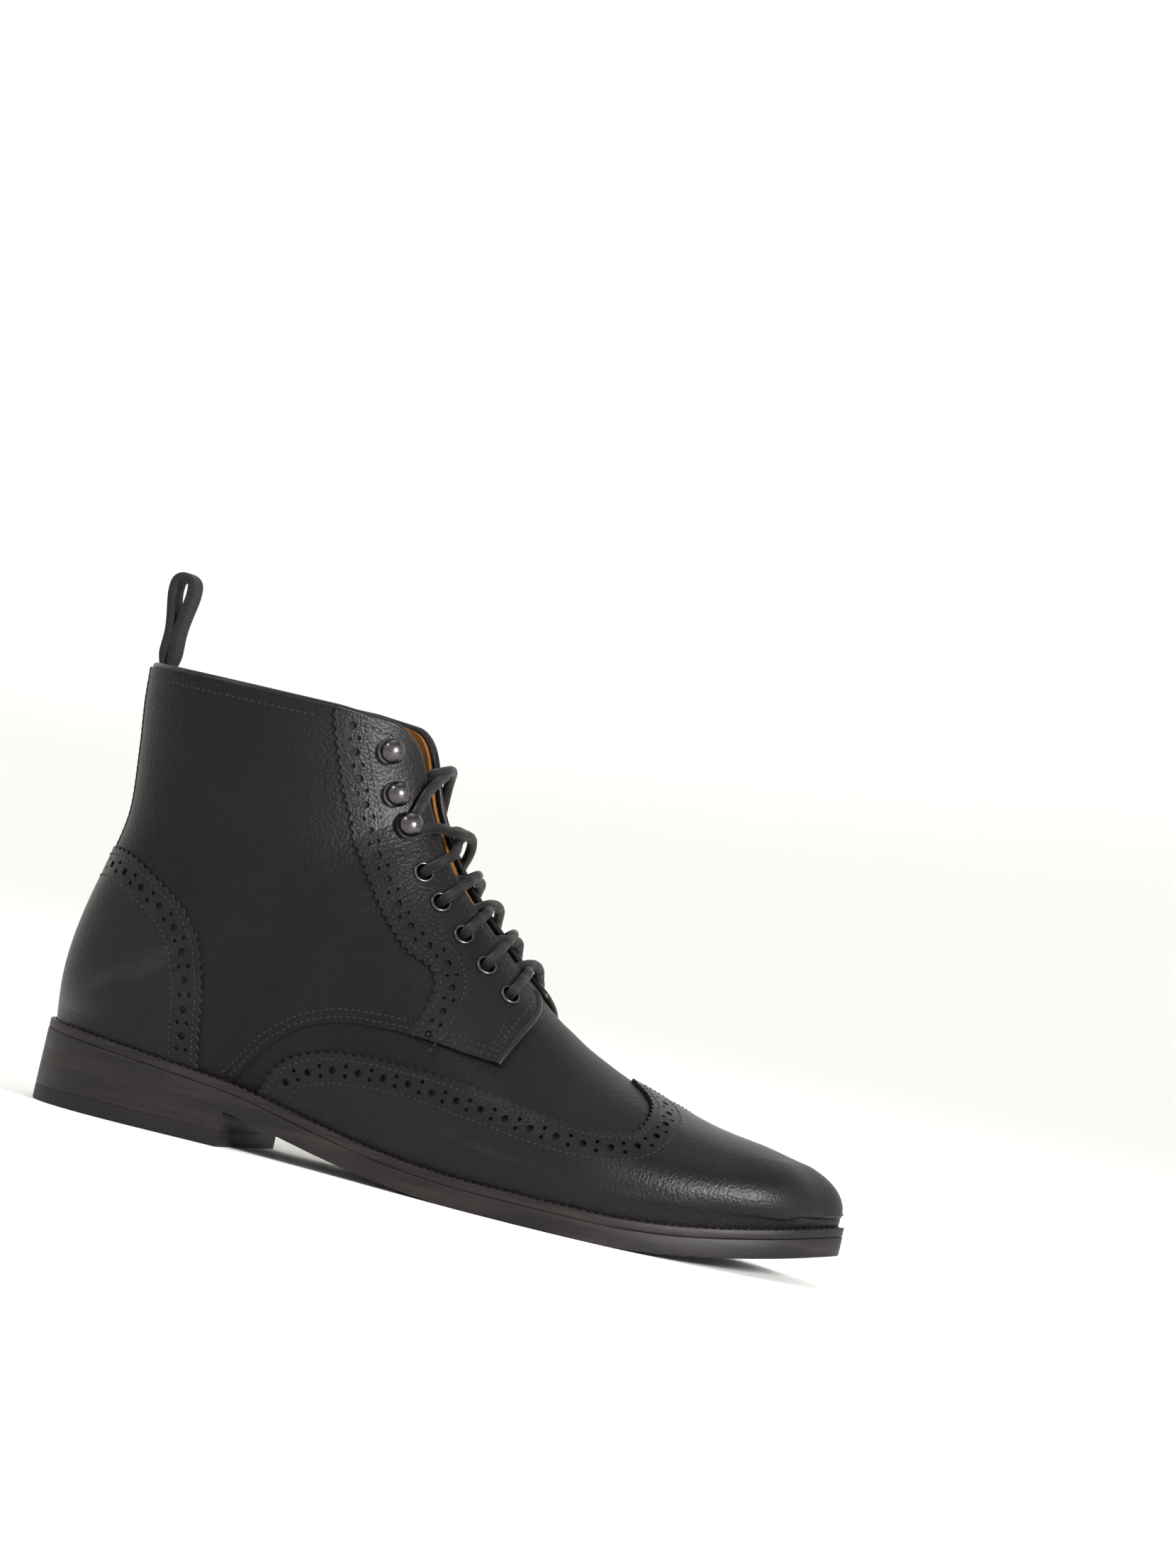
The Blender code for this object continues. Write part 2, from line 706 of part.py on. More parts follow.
def upper_surface():
    """The open surface of the upper's outside, both sides joined along the ridge and the back seam."""
    shape = bmesh.new()
    for side in (LATERAL, MEDIAL):
        rows = []
        for number in rib_numbers():
            rib = Rib(side, number)
            rows.append([shape.verts.new(rib.point(depth)) for depth in DEPTHS])
        for row, following in zip(rows, rows[1:]):
            for j in range(len(DEPTHS) - 1):
                corners = (row[j], row[j + 1], following[j + 1], following[j])
                shape.faces.new(corners if side == MEDIAL else corners[::-1])
    bmesh.ops.remove_doubles(shape, verts=shape.verts, dist=0.01 * MM)
    bmesh.ops.dissolve_degenerate(shape, edges=shape.edges, dist=0.005 * MM)
    bmesh.ops.triangulate(shape, faces=shape.faces)
    return shape


def shell(name, low, high, finish, home):
    """A layer of the upper between two heights above its outside."""
    obj = add_mesh(name, upper_surface(), finish, home)
    if high != 0:
        lift = obj.modifiers.new("Lift", "DISPLACE")
        lift.direction = "NORMAL"
        lift.mid_level = 0
        lift.strength = high
    wall = obj.modifiers.new("Wall", "SOLIDIFY")
    wall.thickness = high - low
    wall.offset = -1
    wall.use_rim = True
    return obj


def mouth_cutter(home):
    """Cuts the opening square to the skin, from the throat's foot to over the collar's corner."""
    rings = []
    for rib, depth in MOUTH + ((LAST_RIB, MOUTH[-1][1] + 0.03),):
        middle = Rib(LATERAL, rib)
        apex = middle.ridge - middle.down * CUT_REACH
        sides = [(skin(side, rib, depth), skin_normal(side, rib, depth)) for side in (LATERAL, MEDIAL)]
        (left, left_out), (right, right_out) = sides
        ring = [
            left + left_out * CUT_REACH,
            left - left_out * CUT_REACH / 3,
            right - right_out * CUT_REACH / 3,
            right + right_out * CUT_REACH,
            apex,
        ]
        rings.append([point + np.array([0, 0, 4 * MM * (rib == LAST_RIB)]) for point in ring])
    mesh = bpy.data.meshes.new("mouth_cutter")
    shape = loft(rings)
    shape.to_mesh(mesh)
    shape.free()
    obj = bpy.data.objects.new("mouth_cutter", mesh)
    home.objects.link(obj)
    return cutter(obj)


def sole_line(start, end, count=20):
    """The side view of the upper's foot, just clear of the welt."""
    return [(x, sole_top(x) + 3 * GAP) for x in np.linspace(start, end, count)]


def build_upper(home, helpers, black, glossy):
    upper = shell("upper", -WALL, 0, black, home)
    boolean(upper, mouth_cutter(helpers), "DIFFERENCE")

    facing_front = side_view(TAB)[::-1] + side_view(MOUTH)
    facing_front += [(facing_front[-1][0], BOOT_HEIGHT + 5 * MM)]
    facing_back = side_view(FACING_FOOT + FACING_BACK)
    facing_back += [(facing_back[-1][0], BOOT_HEIGHT + 5 * MM)]
    facing_outline = facing_front + facing_back[::-1]
    facings = {}
    for name, side in (("facing_lateral", LATERAL), ("facing_medial", MEDIAL)):
        facing = shell(name, GAP, GAP + FACING_THICK, glossy, home)
        low, high = sorted((side * 1 * MM, side * FAR))
        boolean(facing, prism(name + "_cutter", facing_outline, low, high, helpers), "INTERSECT")
        facings[side] = facing

    wing = shell("wing_cap", GAP, GAP + OVERLAY, glossy, home)
    edge = side_view(WING_EDGE)
    tip = x_at(1)
    wing_outline = edge + [(edge[-1][0], TOE_HEIGHT * 2), (tip + LEDGE, TOE_HEIGHT * 2)]
    wing_outline += sole_line(tip + LEDGE, edge[0][0])
    boolean(wing, prism("wing_cutter", wing_outline, -FAR, FAR, helpers), "INTERSECT")

    counter = shell("counter", GAP, GAP + OVERLAY, glossy, home)
    edge = side_view(COUNTER_EDGE)
    back = HEEL_BACK - 20 * MM
    counter_outline = [(back, edge[0][1])] + edge + sole_line(edge[-1][0], back, 6)
    boolean(counter, prism("counter_cutter", counter_outline, -FAR, FAR, helpers), "INTERSECT")

    strip = shell("back_strip", GAP, GAP + OVERLAY, black, home)
    low, high = edge[0][1] + 2 * GAP, BOOT_HEIGHT + 5 * MM
    half = BACK_STRIP_WIDTH / 2
    strip_outline = [(back, low), (HEEL_BACK + 20 * MM, low), (HEEL_BACK + 20 * MM, high), (back, high)]
    boolean(strip, prism("strip_cutter", strip_outline, -half, half, helpers), "INTERSECT")
    return upper, facings


def build_tongue(home, black):
    rings = []
    for number, sink, reach in TONGUE:
        depths = np.linspace(0, reach, 5)
        layers = []
        for drop, pull in ((0, TONGUE_PULL), (TONGUE_THICK, TONGUE_PULL + 0.06)):
            sides = {
                side: [Rib(side, number).point(depth, pull, sink + drop) for depth in depths]
                for side in (LATERAL, MEDIAL)
            }
            layers.append(sides[LATERAL][::-1] + sides[MEDIAL][1:])
        rings.append(layers[0] + layers[1][::-1])
    add_mesh("tongue", loft(rings), black, home)


def build_binding(home, black):
    """The rolled edge along both facings, their tabs and the collar."""
    over_vamp = BINDING_RADIUS + 2 * GAP
    half = [(rib, depth, over_vamp) for rib, depth in TAB[:0:-1]] + [(*TAB[0], 0.7 * over_vamp)]
    half += [(*MOUTH[1], 0.3 * over_vamp)] + [(rib, depth, 0.0) for rib, depth in MOUTH[2:]]
    half += [(LAST_RIB, depth, -WALL / 2) for depth in (0.62, 0.85, 1.1, 1.35, 1.6, 1.8)]
    route = []
    for side in (LATERAL, MEDIAL):
        edge = [above_skin(side, *mark) for mark in half]
        for i in range(len(half)):
            run = (edge[min(i + 1, len(edge) - 1)] - edge[max(i - 1, 0)]) * (1, 0, 1)
            outward = np.array([run[2], 0, -run[0]]) / np.linalg.norm(run)
            route.append(edge[i] + outward * (BINDING_RADIUS + BINDING_GAP))
    count = len(half)
    back = skin(LATERAL, LAST_RIB, 2) + np.array([WALL / 2, 0, BINDING_RADIUS + BINDING_GAP])
    points = smooth_route(route[:count] + [back] + route[count:][::-1], BINDING_STEP)
    tube = tube_curve("collar_binding", points, BINDING_RADIUS, home, roundness=1)
    tube.data.materials.append(black)


def build_loop(home, webbing):
    """The pull loop: a teardrop band whose two plies run down inside the collar."""
    rim = [skin(LATERAL, LAST_RIB, depth) for depth in np.linspace(1.5, 2, 51)]
    beside = min(rim, key=lambda point: abs(abs(point[1]) - LOOP_WIDTH / 2))
    seat = beside[0] + WALL + BINDING_GAP + 3 * GAP
    middle = seat + WEBBING + LOOP_LEAN
    neck = BOOT_HEIGHT + BINDING_GAP + 2 * BINDING_RADIUS + 2 * GAP
    centre = BOOT_HEIGHT + LOOP_HEIGHT - LOOP_SPREAD / 2

    def bow(inward):
        radius = LOOP_SPREAD / 2 - inward
        turns = [math.radians(angle) for angle in range(0, 181, 30)]
        return [(middle + radius * math.cos(a), centre + radius * math.sin(a)) for a in turns]

    front, rear = middle + LOOP_NECK / 2, middle - LOOP_NECK / 2
    tail = BOOT_HEIGHT - LOOP_TAIL
    foot = seat + seam_x(tail) - seam_x(BOOT_HEIGHT) + GAP
    outside = [(foot + 2 * WEBBING, tail), (seat + 2 * WEBBING, BOOT_HEIGHT), (front, neck)]
    outside += bow(0) + [(rear, neck), (seat, neck - 2 * GAP), (seat, BOOT_HEIGHT), (foot, tail)]
    hole = [(front - WEBBING, neck + 1 * MM)] + bow(WEBBING) + [(rear + WEBBING, neck + 1 * MM)]
    curve = bpy.data.curves.new("pull_loop", "CURVE")
    curve.dimensions = "2D"
    curve.fill_mode = "BOTH"
    curve.extrude = LOOP_WIDTH / 2
    for outline in (outside, hole):
        spline = curve.splines.new("POLY")
        spline.points.add(len(outline) - 1)
        spline.use_cyclic_u = True
        for place, (x, z) in zip(spline.points, outline):
            place.co = (x, z, 0, 1)
    obj = bpy.data.objects.new("pull_loop", curve)
    home.objects.link(obj)
    obj.data.materials.append(webbing)
    obj.matrix_world = Matrix.Rotation(math.radians(90), 4, "X")


# Eyelets, hooks and laces


def build_eyelets(home, helpers, metal, upper, facings):
    deck = GAP + FACING_THICK + GAP
    barrel = EYELET_HOLE + BARREL_WALL
    profile = [
        (barrel, deck),
        (barrel, -WALL),
        (EYELET_HOLE, -WALL),
        (EYELET_HOLE, deck + EYELET_RIM * 0.7),
        ((EYELET_HOLE + EYELET_RADIUS) / 2, deck + EYELET_RIM),
        (EYELET_RADIUS, deck + EYELET_RIM * 0.4),
        (EYELET_RADIUS, deck),
    ][::-1]
    for side, word in ((LATERAL, "lateral"), (MEDIAL, "medial")):
        punches = bmesh.new()
        for i, (rib, depth) in enumerate(EYELETS):
            place, axis = skin(side, rib, depth), skin_normal(side, rib, depth)
            turned(f"eyelet_{word}_{i + 1}", profile, metal, home, place, axis)
            matrix = Matrix.Translation(Vector(place)) @ Vector(axis).to_track_quat("Z", "Y").to_matrix().to_4x4()
            bmesh.ops.create_cone(
                punches,
                cap_ends=True,
                segments=10,
                radius1=barrel + GAP,
                radius2=barrel + GAP,
                depth=14 * MM,
                matrix=matrix,
            )
        mesh = bpy.data.meshes.new(f"punch_{word}")
        punches.to_mesh(mesh)
        punches.free()
        punch = cutter(bpy.data.objects.new(f"punch_{word}", mesh))
        helpers.objects.link(punch)
        boolean(upper, punch, "DIFFERENCE")
        boolean(facings[side], punch, "DIFFERENCE")


def build_hooks(home, metal):
    deck = GAP + FACING_THICK + GAP
    centre = deck + HOOK_RISE + HOOK_RADIUS * 0.55
    ball = [
        (HOOK_RADIUS * math.cos(a), centre + 0.72 * HOOK_RADIUS * math.sin(a))
        for a in [math.radians(angle) for angle in (-55, -10, 45)]
    ]
    profile = [
        (0, deck),
        (HOOK_BASE, deck),
        (HOOK_BASE, deck + 0.5 * MM),
        (HOOK_STEM, deck + 0.9 * MM),
        (HOOK_STEM, ball[0][1]),
        *ball,
        (0, centre + 0.72 * HOOK_RADIUS),
    ][::-1]
    for side, word in ((LATERAL, "lateral"), (MEDIAL, "medial")):
        for i, (rib, depth) in enumerate(HOOKS):
            turned(
                f"hook_{word}_{i + 1}", profile, metal, home, skin(side, rib, depth), skin_normal(side, rib, depth)
            )


def beside_hook(side, hook, height, towards):
    """Where a lace meets a hook's ball, on the side that faces a point."""
    centre = above_skin(side, *hook, height)
    away = towards - centre
    return centre + away / np.linalg.norm(away) * (HOOK_RADIUS + GAP)


def strand(side, start, end, outside):
    """A lace strand from above one eyelet over the facing's edge, across the throat. It ends between the
    facings, or at the far side's hook when outside is set."""
    (rib, depth), (far_rib, far_depth) = start, end
    span = far_rib - rib
    over = GAP + FACING_THICK + EYELET_RIM + 2 * GAP + LACE_RADIUS
    crest = GAP + FACING_THICK + 2 * BINDING_RADIUS + LACE_RADIUS
    marks = [
        (rib + 0.02 * span, depth * 0.98, over + 0.6 * MM),
        (rib + 0.18 * span, depth * 0.74, crest),
        (rib + 0.34 * span, depth * 0.40, crest),
        (rib + 0.50 * span, 0.0, 2.2 * MM if not outside else crest),
    ]
    if outside:
        marks += [(rib + 0.66 * span, -far_depth * 0.40, crest)]
    else:
        marks += [
            (rib + 0.55 * span, -0.03, 0.9 * MM),
            (rib + 0.59 * span, -0.055, -1.2 * MM),
        ]
    points = [above_skin(side, *mark) for mark in marks]
    if outside:
        points.append(beside_hook(-side, end, crest, points[-1]))
    return smooth_route(points, LACE_STEP)


def build_laces(home, helpers, cord):
    steps = list(EYELETS) + [HOOKS[0]]
    for i, (start, end) in enumerate(zip(steps, steps[1:])):
        outside = i == len(steps) - 2
        pieces = []
        for side, word in ((LATERAL, "lateral"), (MEDIAL, "medial")):
            place = home if side == LATERAL else helpers
            name = f"lace_crossing_{i + 1}" if side == LATERAL else f"lace_strand_{i + 1}"
            tube = tube_curve(name, strand(side, start, end, outside), LACE_RADIUS, place)
            pieces.append(as_mesh(tube, place))
        pieces[0].data.materials.append(cord)
        boolean(pieces[0], cutter(pieces[1]), "UNION")

    rib, depth = HOOKS[0]
    over = GAP + FACING_THICK + 2 * BINDING_RADIUS + LACE_RADIUS
    for side, word, lift, later in (
        (LATERAL, "lateral", 0.0, 0.0),
        (MEDIAL, "medial", 2 * LACE_RADIUS + 2 * GAP, 0.6),
    ):
        marks = [
            (rib + 1.60, depth * 0.60, over),
            (rib + 2.10 + later, depth * 0.25, over + lift),
            (rib + 2.40 + later, -depth * 0.10, over + lift),
            (rib + 2.50 + later, -depth * 0.24, 1.5 * MM),
            (rib + 2.00 + later, -depth * 0.20, -3.2 * MM),
            (rib + 0.80 + later, -depth * 0.20, -4.2 * MM),
        ]
        points = [above_skin(side, *mark) for mark in marks]
        points.insert(0, beside_hook(side, HOOKS[0], over, points[0]))
        tube = tube_curve(f"lace_end_{word}", smooth_route(points, LACE_STEP), LACE_RADIUS, home)
        tube.data.materials.append(cord)


def main():
    clear_scene()
    boot = collection("brogue_boot")
    helpers = collection("cutters")
    black = material("black_leather", (0.012, 0.010, 0.010), 0.45)
    glossy = material("brogued_leather", (0.010, 0.009, 0.009), 0.35)
    edge = material("stained_leather_edge", (0.030, 0.024, 0.023), 0.55)
    rubber = material("heel_rubber", (0.020, 0.018, 0.018), 0.7)
    tan = material("tan_lining", (0.33, 0.13, 0.02), 0.75)
    gunmetal = material("gunmetal", (0.20, 0.19, 0.20), 0.3, 1.0)
    cord = material("waxed_cord", (0.010, 0.009, 0.008), 0.6)
    webbing = material("loop_webbing", (0.012, 0.010, 0.010), 0.8)

    build_bottom(boot, edge, rubber, tan)
    upper, facings = build_upper(boot, helpers, black, glossy)
    build_eyelets(boot, helpers, gunmetal, upper, facings)
    build_hooks(boot, gunmetal)
    build_tongue(boot, black)
    build_binding(boot, black)
    build_loop(boot, webbing)
    build_laces(boot, helpers, cord)


main()
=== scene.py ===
import math

import bmesh
import bpy
import numpy as np
from mathutils import Matrix, Vector
from mathutils.geometry import delaunay_2d_cdt


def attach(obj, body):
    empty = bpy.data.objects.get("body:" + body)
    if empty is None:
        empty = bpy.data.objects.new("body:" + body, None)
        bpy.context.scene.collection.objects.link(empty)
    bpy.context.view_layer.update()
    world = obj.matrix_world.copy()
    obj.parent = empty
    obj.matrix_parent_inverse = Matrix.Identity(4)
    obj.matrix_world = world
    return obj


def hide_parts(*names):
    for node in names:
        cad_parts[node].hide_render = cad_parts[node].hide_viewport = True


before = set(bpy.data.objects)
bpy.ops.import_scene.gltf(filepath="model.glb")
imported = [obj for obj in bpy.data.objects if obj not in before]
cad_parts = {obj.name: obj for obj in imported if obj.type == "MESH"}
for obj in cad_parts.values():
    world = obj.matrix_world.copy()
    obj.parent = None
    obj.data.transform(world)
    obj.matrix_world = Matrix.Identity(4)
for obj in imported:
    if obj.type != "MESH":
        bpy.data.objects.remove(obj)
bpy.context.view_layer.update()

bl_info = {
    "name": "Brogue boot dressing",
    "version": (1, 0, 0),
    "blender": (4, 5, 0),
    "location": "3D View > Sidebar > Boot",
    "description": "Leather, broguing, stitching, laces and finishes of a black wing cap boot",
    "category": "Object",
}

MM = 0.001
LATERAL, MEDIAL = -1, 1
SIDES = ((LATERAL, "lateral"), (MEDIAL, "medial"))

# The last and the boot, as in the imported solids
LENGTH = 298 * MM
BALL_WIDTH = 106 * MM
WAIST_WIDTH = 63 * MM
HEEL_WIDTH = 65 * MM
HEEL_BACK = -39 * MM
TOE_HEIGHT = 44 * MM
INSTEP_HEIGHT = 90 * MM
BOOT_HEIGHT = 161 * MM
SHAFT_WIDTH = 74 * MM
ANKLE_WAIST = 10.6 * MM
TOE_SET = 1.2 * MM
TOE_SLOPE = 0.13
WALL_LEAN = 0.25
SEAT_HEIGHT = 19.5 * MM
BREAST_HEIGHT = 12.5 * MM
TOE_SPRING = 12.5 * MM
TREAD_LENGTH = 77.5 * MM
BREAST_SLANT = 6.5 * MM
TOP_LIFT_THICK = 5.6 * MM
OUTSOLE_THICK = 7 * MM
WELT_THICK = 3 * MM
LEDGE = 4.0 * MM
INSOLE_THICK = 2.4 * MM
GAP = 0.3 * MM
WALL = 2.2 * MM
BACK_STRIP_WIDTH = 9 * MM
TONGUE_THICK = 1.8 * MM
TONGUE_PULL = 0.2
LOOP_WIDTH = 12 * MM
LOOP_HEIGHT = 36 * MM
LOOP_SPREAD = 9.8 * MM
LOOP_NECK = 5.6 * MM
LOOP_LEAN = -0.9 * MM
LOOP_TAIL = 13 * MM
WEBBING = 1.4 * MM
LOOP_TAPE = 3.1 * MM
FACING_THICK = 1.5 * MM
BINDING_RADIUS = 1.2 * MM
HOOK_RADIUS = 4.1 * MM

SOLE_OUTLINE = (
    # along, follows, lateral, medial
    (1.000, BALL_WIDTH, -0.038, 0.038),
    (0.985, BALL_WIDTH, 0.070, 0.146),
    (0.955, BALL_WIDTH, 0.180, 0.258),
    (0.905, BALL_WIDTH, 0.295, 0.360),
    (0.840, BALL_WIDTH, 0.397, 0.437),
    (0.760, BALL_WIDTH, 0.478, 0.483),
    (0.675, BALL_WIDTH, 0.508, 0.484),
    (0.585, BALL_WIDTH, 0.484, 0.402),
    (0.490, BALL_WIDTH, 0.415, 0.303),
    (0.390, WAIST_WIDTH, 0.580, 0.424),
    (0.300, HEEL_WIDTH, 0.520, 0.425),
    (0.220, HEEL_WIDTH, 0.508, 0.468),
    (0.140, HEEL_WIDTH, 0.500, 0.480),
    (0.070, HEEL_WIDTH, 0.430, 0.425),
    (0.022, HEEL_WIDTH, 0.270, 0.270),
    (0.000, HEEL_WIDTH, 0.000, 0.000),
)
SOLE_PROFILE = (
    # along, follows, height of the outsole's underside
    (0.000, SEAT_HEIGHT, 1.00),
    (0.262, BREAST_HEIGHT, 1.00),
    (0.330, BREAST_HEIGHT, 0.70),
    (0.385, BREAST_HEIGHT, 0.44),
    (0.450, BREAST_HEIGHT, 0.20),
    (0.520, BREAST_HEIGHT, 0.05),
    (0.580, BREAST_HEIGHT, 0.00),
    (0.745, TOE_SPRING, 0.00),
    (0.805, TOE_SPRING, 0.085),
    (0.855, TOE_SPRING, 0.24),
    (0.905, TOE_SPRING, 0.46),
    (0.955, TOE_SPRING, 0.72),
    (1.000, TOE_SPRING, 1.00),
)
RIBS = (
    # along, up, follows, foot, seam, width, lateral, medial, widest, crown, shoulder, belly, root
    (0.876, 0.985, TOE_HEIGHT, 0.876, 0.0, BALL_WIDTH, 0.332, 0.380, 0.66, 0.56, 0.55, 0.50, 0.50),
    (0.819, 1.043, TOE_HEIGHT, 0.822, 0.0, BALL_WIDTH, 0.404, 0.430, 0.68, 0.56, 0.52, 0.50, 0.50),
    (0.768, 1.140, TOE_HEIGHT, 0.770, 0.0, BALL_WIDTH, 0.452, 0.460, 0.70, 0.55, 0.50, 0.50, 0.50),
    (0.718, 1.248, TOE_HEIGHT, 0.721, 0.0, BALL_WIDTH, 0.480, 0.470, 0.72, 0.53, 0.48, 0.50, 0.50),
    (0.668, 0.680, INSTEP_HEIGHT, 0.671, 0.0, BALL_WIDTH, 0.482, 0.455, 0.73, 0.51, 0.46, 0.50, 0.50),
    (0.621, 0.767, INSTEP_HEIGHT, 0.617, 0.0, BALL_WIDTH, 0.468, 0.420, 0.73, 0.50, 0.45, 0.50, 0.50),
    (0.579, 0.868, INSTEP_HEIGHT, 0.560, 0.0, BALL_WIDTH, 0.440, 0.378, 0.72, 0.52, 0.44, 0.50, 0.50),
    (0.540, 0.989, INSTEP_HEIGHT, 0.487, 0.0, BALL_WIDTH, 0.402, 0.340, 0.68, 0.58, 0.43, 0.50, 0.50),
    (0.507, 1.090, INSTEP_HEIGHT, 0.406, 0.0, SHAFT_WIDTH, 0.530, 0.455, 0.62, 0.64, 0.42, 0.50, 0.50),
    (0.478, 0.662, BOOT_HEIGHT, 0.319, 0.0, SHAFT_WIDTH, 0.500, 0.448, 0.56, 0.68, 0.42, 0.55, 0.50),
    (0.454, 0.714, BOOT_HEIGHT, 0.228, 0.0, SHAFT_WIDTH, 0.480, 0.452, 0.52, 0.70, 0.42, 0.60, 0.50),
    (0.436, 0.765, BOOT_HEIGHT, 0.138, 0.0, SHAFT_WIDTH, 0.468, 0.455, 0.49, 0.72, 0.42, 0.66, 0.50),
    (0.423, 0.807, BOOT_HEIGHT, 0.057, 0.0, SHAFT_WIDTH, 0.462, 0.455, 0.47, 0.72, 0.42, 0.70, 0.55),
    (0.412, 0.846, BOOT_HEIGHT, 0.000, 0.0, SHAFT_WIDTH, 0.460, 0.455, 0.46, 0.72, 0.42, 0.72, 0.62),
    (0.4035, 0.882, BOOT_HEIGHT, 0.000, 0.2, SHAFT_WIDTH, 0.460, 0.458, 0.46, 0.72, 0.42, 0.70, 0.66),
    (0.397, 0.914, BOOT_HEIGHT, 0.000, 0.4, SHAFT_WIDTH, 0.465, 0.463, 0.48, 0.72, 0.42, 0.66, 0.64),
    (0.392, 0.944, BOOT_HEIGHT, 0.000, 0.6, SHAFT_WIDTH, 0.475, 0.475, 0.51, 0.72, 0.42, 0.62, 0.60),
    (0.389, 0.972, BOOT_HEIGHT, 0.000, 0.8, SHAFT_WIDTH, 0.490, 0.490, 0.54, 0.72, 0.42, 0.58, 0.57),
    (0.3865, 1.000, BOOT_HEIGHT, 0.000, 1.0, SHAFT_WIDTH, 0.500, 0.500, 0.56, 0.72, 0.42, 0.56, 0.56),
)
TIP_WIDEST, TIP_CROWN = 0.80, 0.56
BACK_SEAM = (
    # up, in
    (0.000, 0.33),
    (0.155, 0.24),
    (0.310, 0.52),
    (0.460, 0.94),
    (0.610, 1.23),
    (0.770, 1.07),
    (0.920, 0.85),
    (1.000, 0.79),
)
LAST_RIB = 18
SEAM_RIB = 13

# Marks on the upper are (rib, depth): depth is 0 at the ridge, 1 at the widest, 2 at the foot or back seam
MOUTH = (
    (6.25, 0.12), (6.70, 0.14), (7.40, 0.15), (8.48, 0.16), (9.46, 0.175), (10.75, 0.186),
    (11.90, 0.185), (13.70, 0.185), (15.90, 0.21), (17.16, 0.277), (17.75, 0.36), (17.97, 0.47),
)
TAB = ((5.98, 0.11), (5.78, 0.18), (5.70, 0.27), (5.75, 0.41), (5.95, 0.658))
QUARTER_FOOT = (
    (5.95, 0.658), (6.75, 0.736), (7.37, 0.797), (7.89, 0.859), (8.59, 0.981), (9.12, 1.118),
    (9.43, 1.273), (9.58, 1.480), (9.66, 1.722), (9.66, 1.90), (9.67, 2.0),
)
FACING_FOOT = ((5.95, 0.658), (6.75, 0.736), (7.37, 0.797), (7.90, 0.860))
FACING_BACK = (
    (7.90, 0.860), (7.86, 0.778), (7.90, 0.687), (8.00, 0.625), (8.24, 0.583), (8.77, 0.608),
    (9.46, 0.622), (10.46, 0.598), (11.91, 0.562), (14.03, 0.575), (15.57, 0.624), (16.82, 0.638),
    (18.0, 0.650),
)
COUNTER_EDGE = (
    (15.42, 2.0), (15.30, 1.62), (14.94, 1.431), (14.41, 1.289), (13.80, 1.188), (13.10, 1.135),
    (12.10, 1.178), (11.40, 1.31), (10.83, 1.622), (10.46, 1.851), (10.14, 2.0),
)
WING_EDGE = (
    (9.28, 2.0), (9.33, 1.866), (9.31, 1.724), (9.13, 1.523), (8.79, 1.316), (8.37, 1.166),
    (7.78, 1.008), (6.85, 0.886), (5.76, 0.801), (4.81, 0.767), (3.89, 0.730), (3.16, 0.692),
    (2.69, 0.650), (2.38, 0.596), (2.22, 0.497), (2.20, 0.362), (2.32, 0.226), (2.72, 0.088),
    (3.12, 0.0),
)
EYELETS = ((6.45, 0.331), (7.31, 0.339), (8.30, 0.339), (9.40, 0.347), (10.48, 0.348))
HOOKS = ((12.51, 0.327), (14.26, 0.370), (16.51, 0.396))
TONGUE = (
    # rib, sink below the skin, reach (depth) to each side
    (5.60, 2.9 * MM, 0.42),
    (6.20, 3.4 * MM, 0.42),
    (7.00, 4.6 * MM, 0.42),
    (8.00, 6.0 * MM, 0.42),
    (9.50, 7.5 * MM, 0.42),
    (11.0, 8.5 * MM, 0.42),
    (12.5, 9.0 * MM, 0.42),
    (14.0, 9.5 * MM, 0.42),
    (15.5, 9.5 * MM, 0.42),
    (16.6, 9.5 * MM, 0.40),
    (17.0, 9.5 * MM, 0.34),
)
FOLDS = (
    # soft troughs of a worn-in leather: rib, depth, to rib, to depth, half width, how deep
    (5.35, 0.05, 4.75, 0.95, 5.0 * MM, 0.30 * MM),
    (4.40, 0.00, 4.05, 0.62, 4.0 * MM, 0.22 * MM),
    (11.9, 0.72, 11.2, 1.05, 8.0 * MM, 0.45 * MM),
    (10.0, 0.75, 9.70, 1.10, 6.0 * MM, 0.35 * MM),
    (15.6, 0.90, 15.3, 1.70, 9.0 * MM, 0.35 * MM),
)
TOE_PUFF = (-1, 0.72, -0.62, 0.74, 23 * MM, 2.6 * MM)


def chord_knots(points):
    return np.concatenate([[0], np.cumsum(np.linalg.norm(np.diff(points, axis=0), axis=1))])


class Spline:
    """A natural cubic through rows of values."""

    def __init__(self, knots, values):
        self.knots = np.asarray(knots, float)
        self.values = np.asarray(values, float)
        step = np.diff(self.knots)
        slope = np.diff(self.values, axis=0) / step[:, None]
        matrix = np.eye(len(self.knots))
        right = np.zeros_like(self.values)
        for i in range(1, len(step)):
            matrix[i, i - 1 : i + 2] = step[i - 1], 2 * (step[i - 1] + step[i]), step[i]
            right[i] = 6 * (slope[i] - slope[i - 1])
        self.bend = np.linalg.solve(matrix, right)

    def at(self, where):
        where = np.clip(where, self.knots[0], self.knots[-1])
        i = np.clip(np.searchsorted(self.knots, where, side="right") - 1, 0, len(self.knots) - 2)
        step = np.asarray(self.knots[i + 1] - self.knots[i])[..., None]
        b = (np.asarray(where)[..., None] - self.knots[i][..., None]) / step
        a = 1 - b
        bend = (a**3 - a) * self.bend[i] + (b**3 - b) * self.bend[i + 1]
        return a * self.values[i] + b * self.values[i + 1] + bend * step**2 / 6


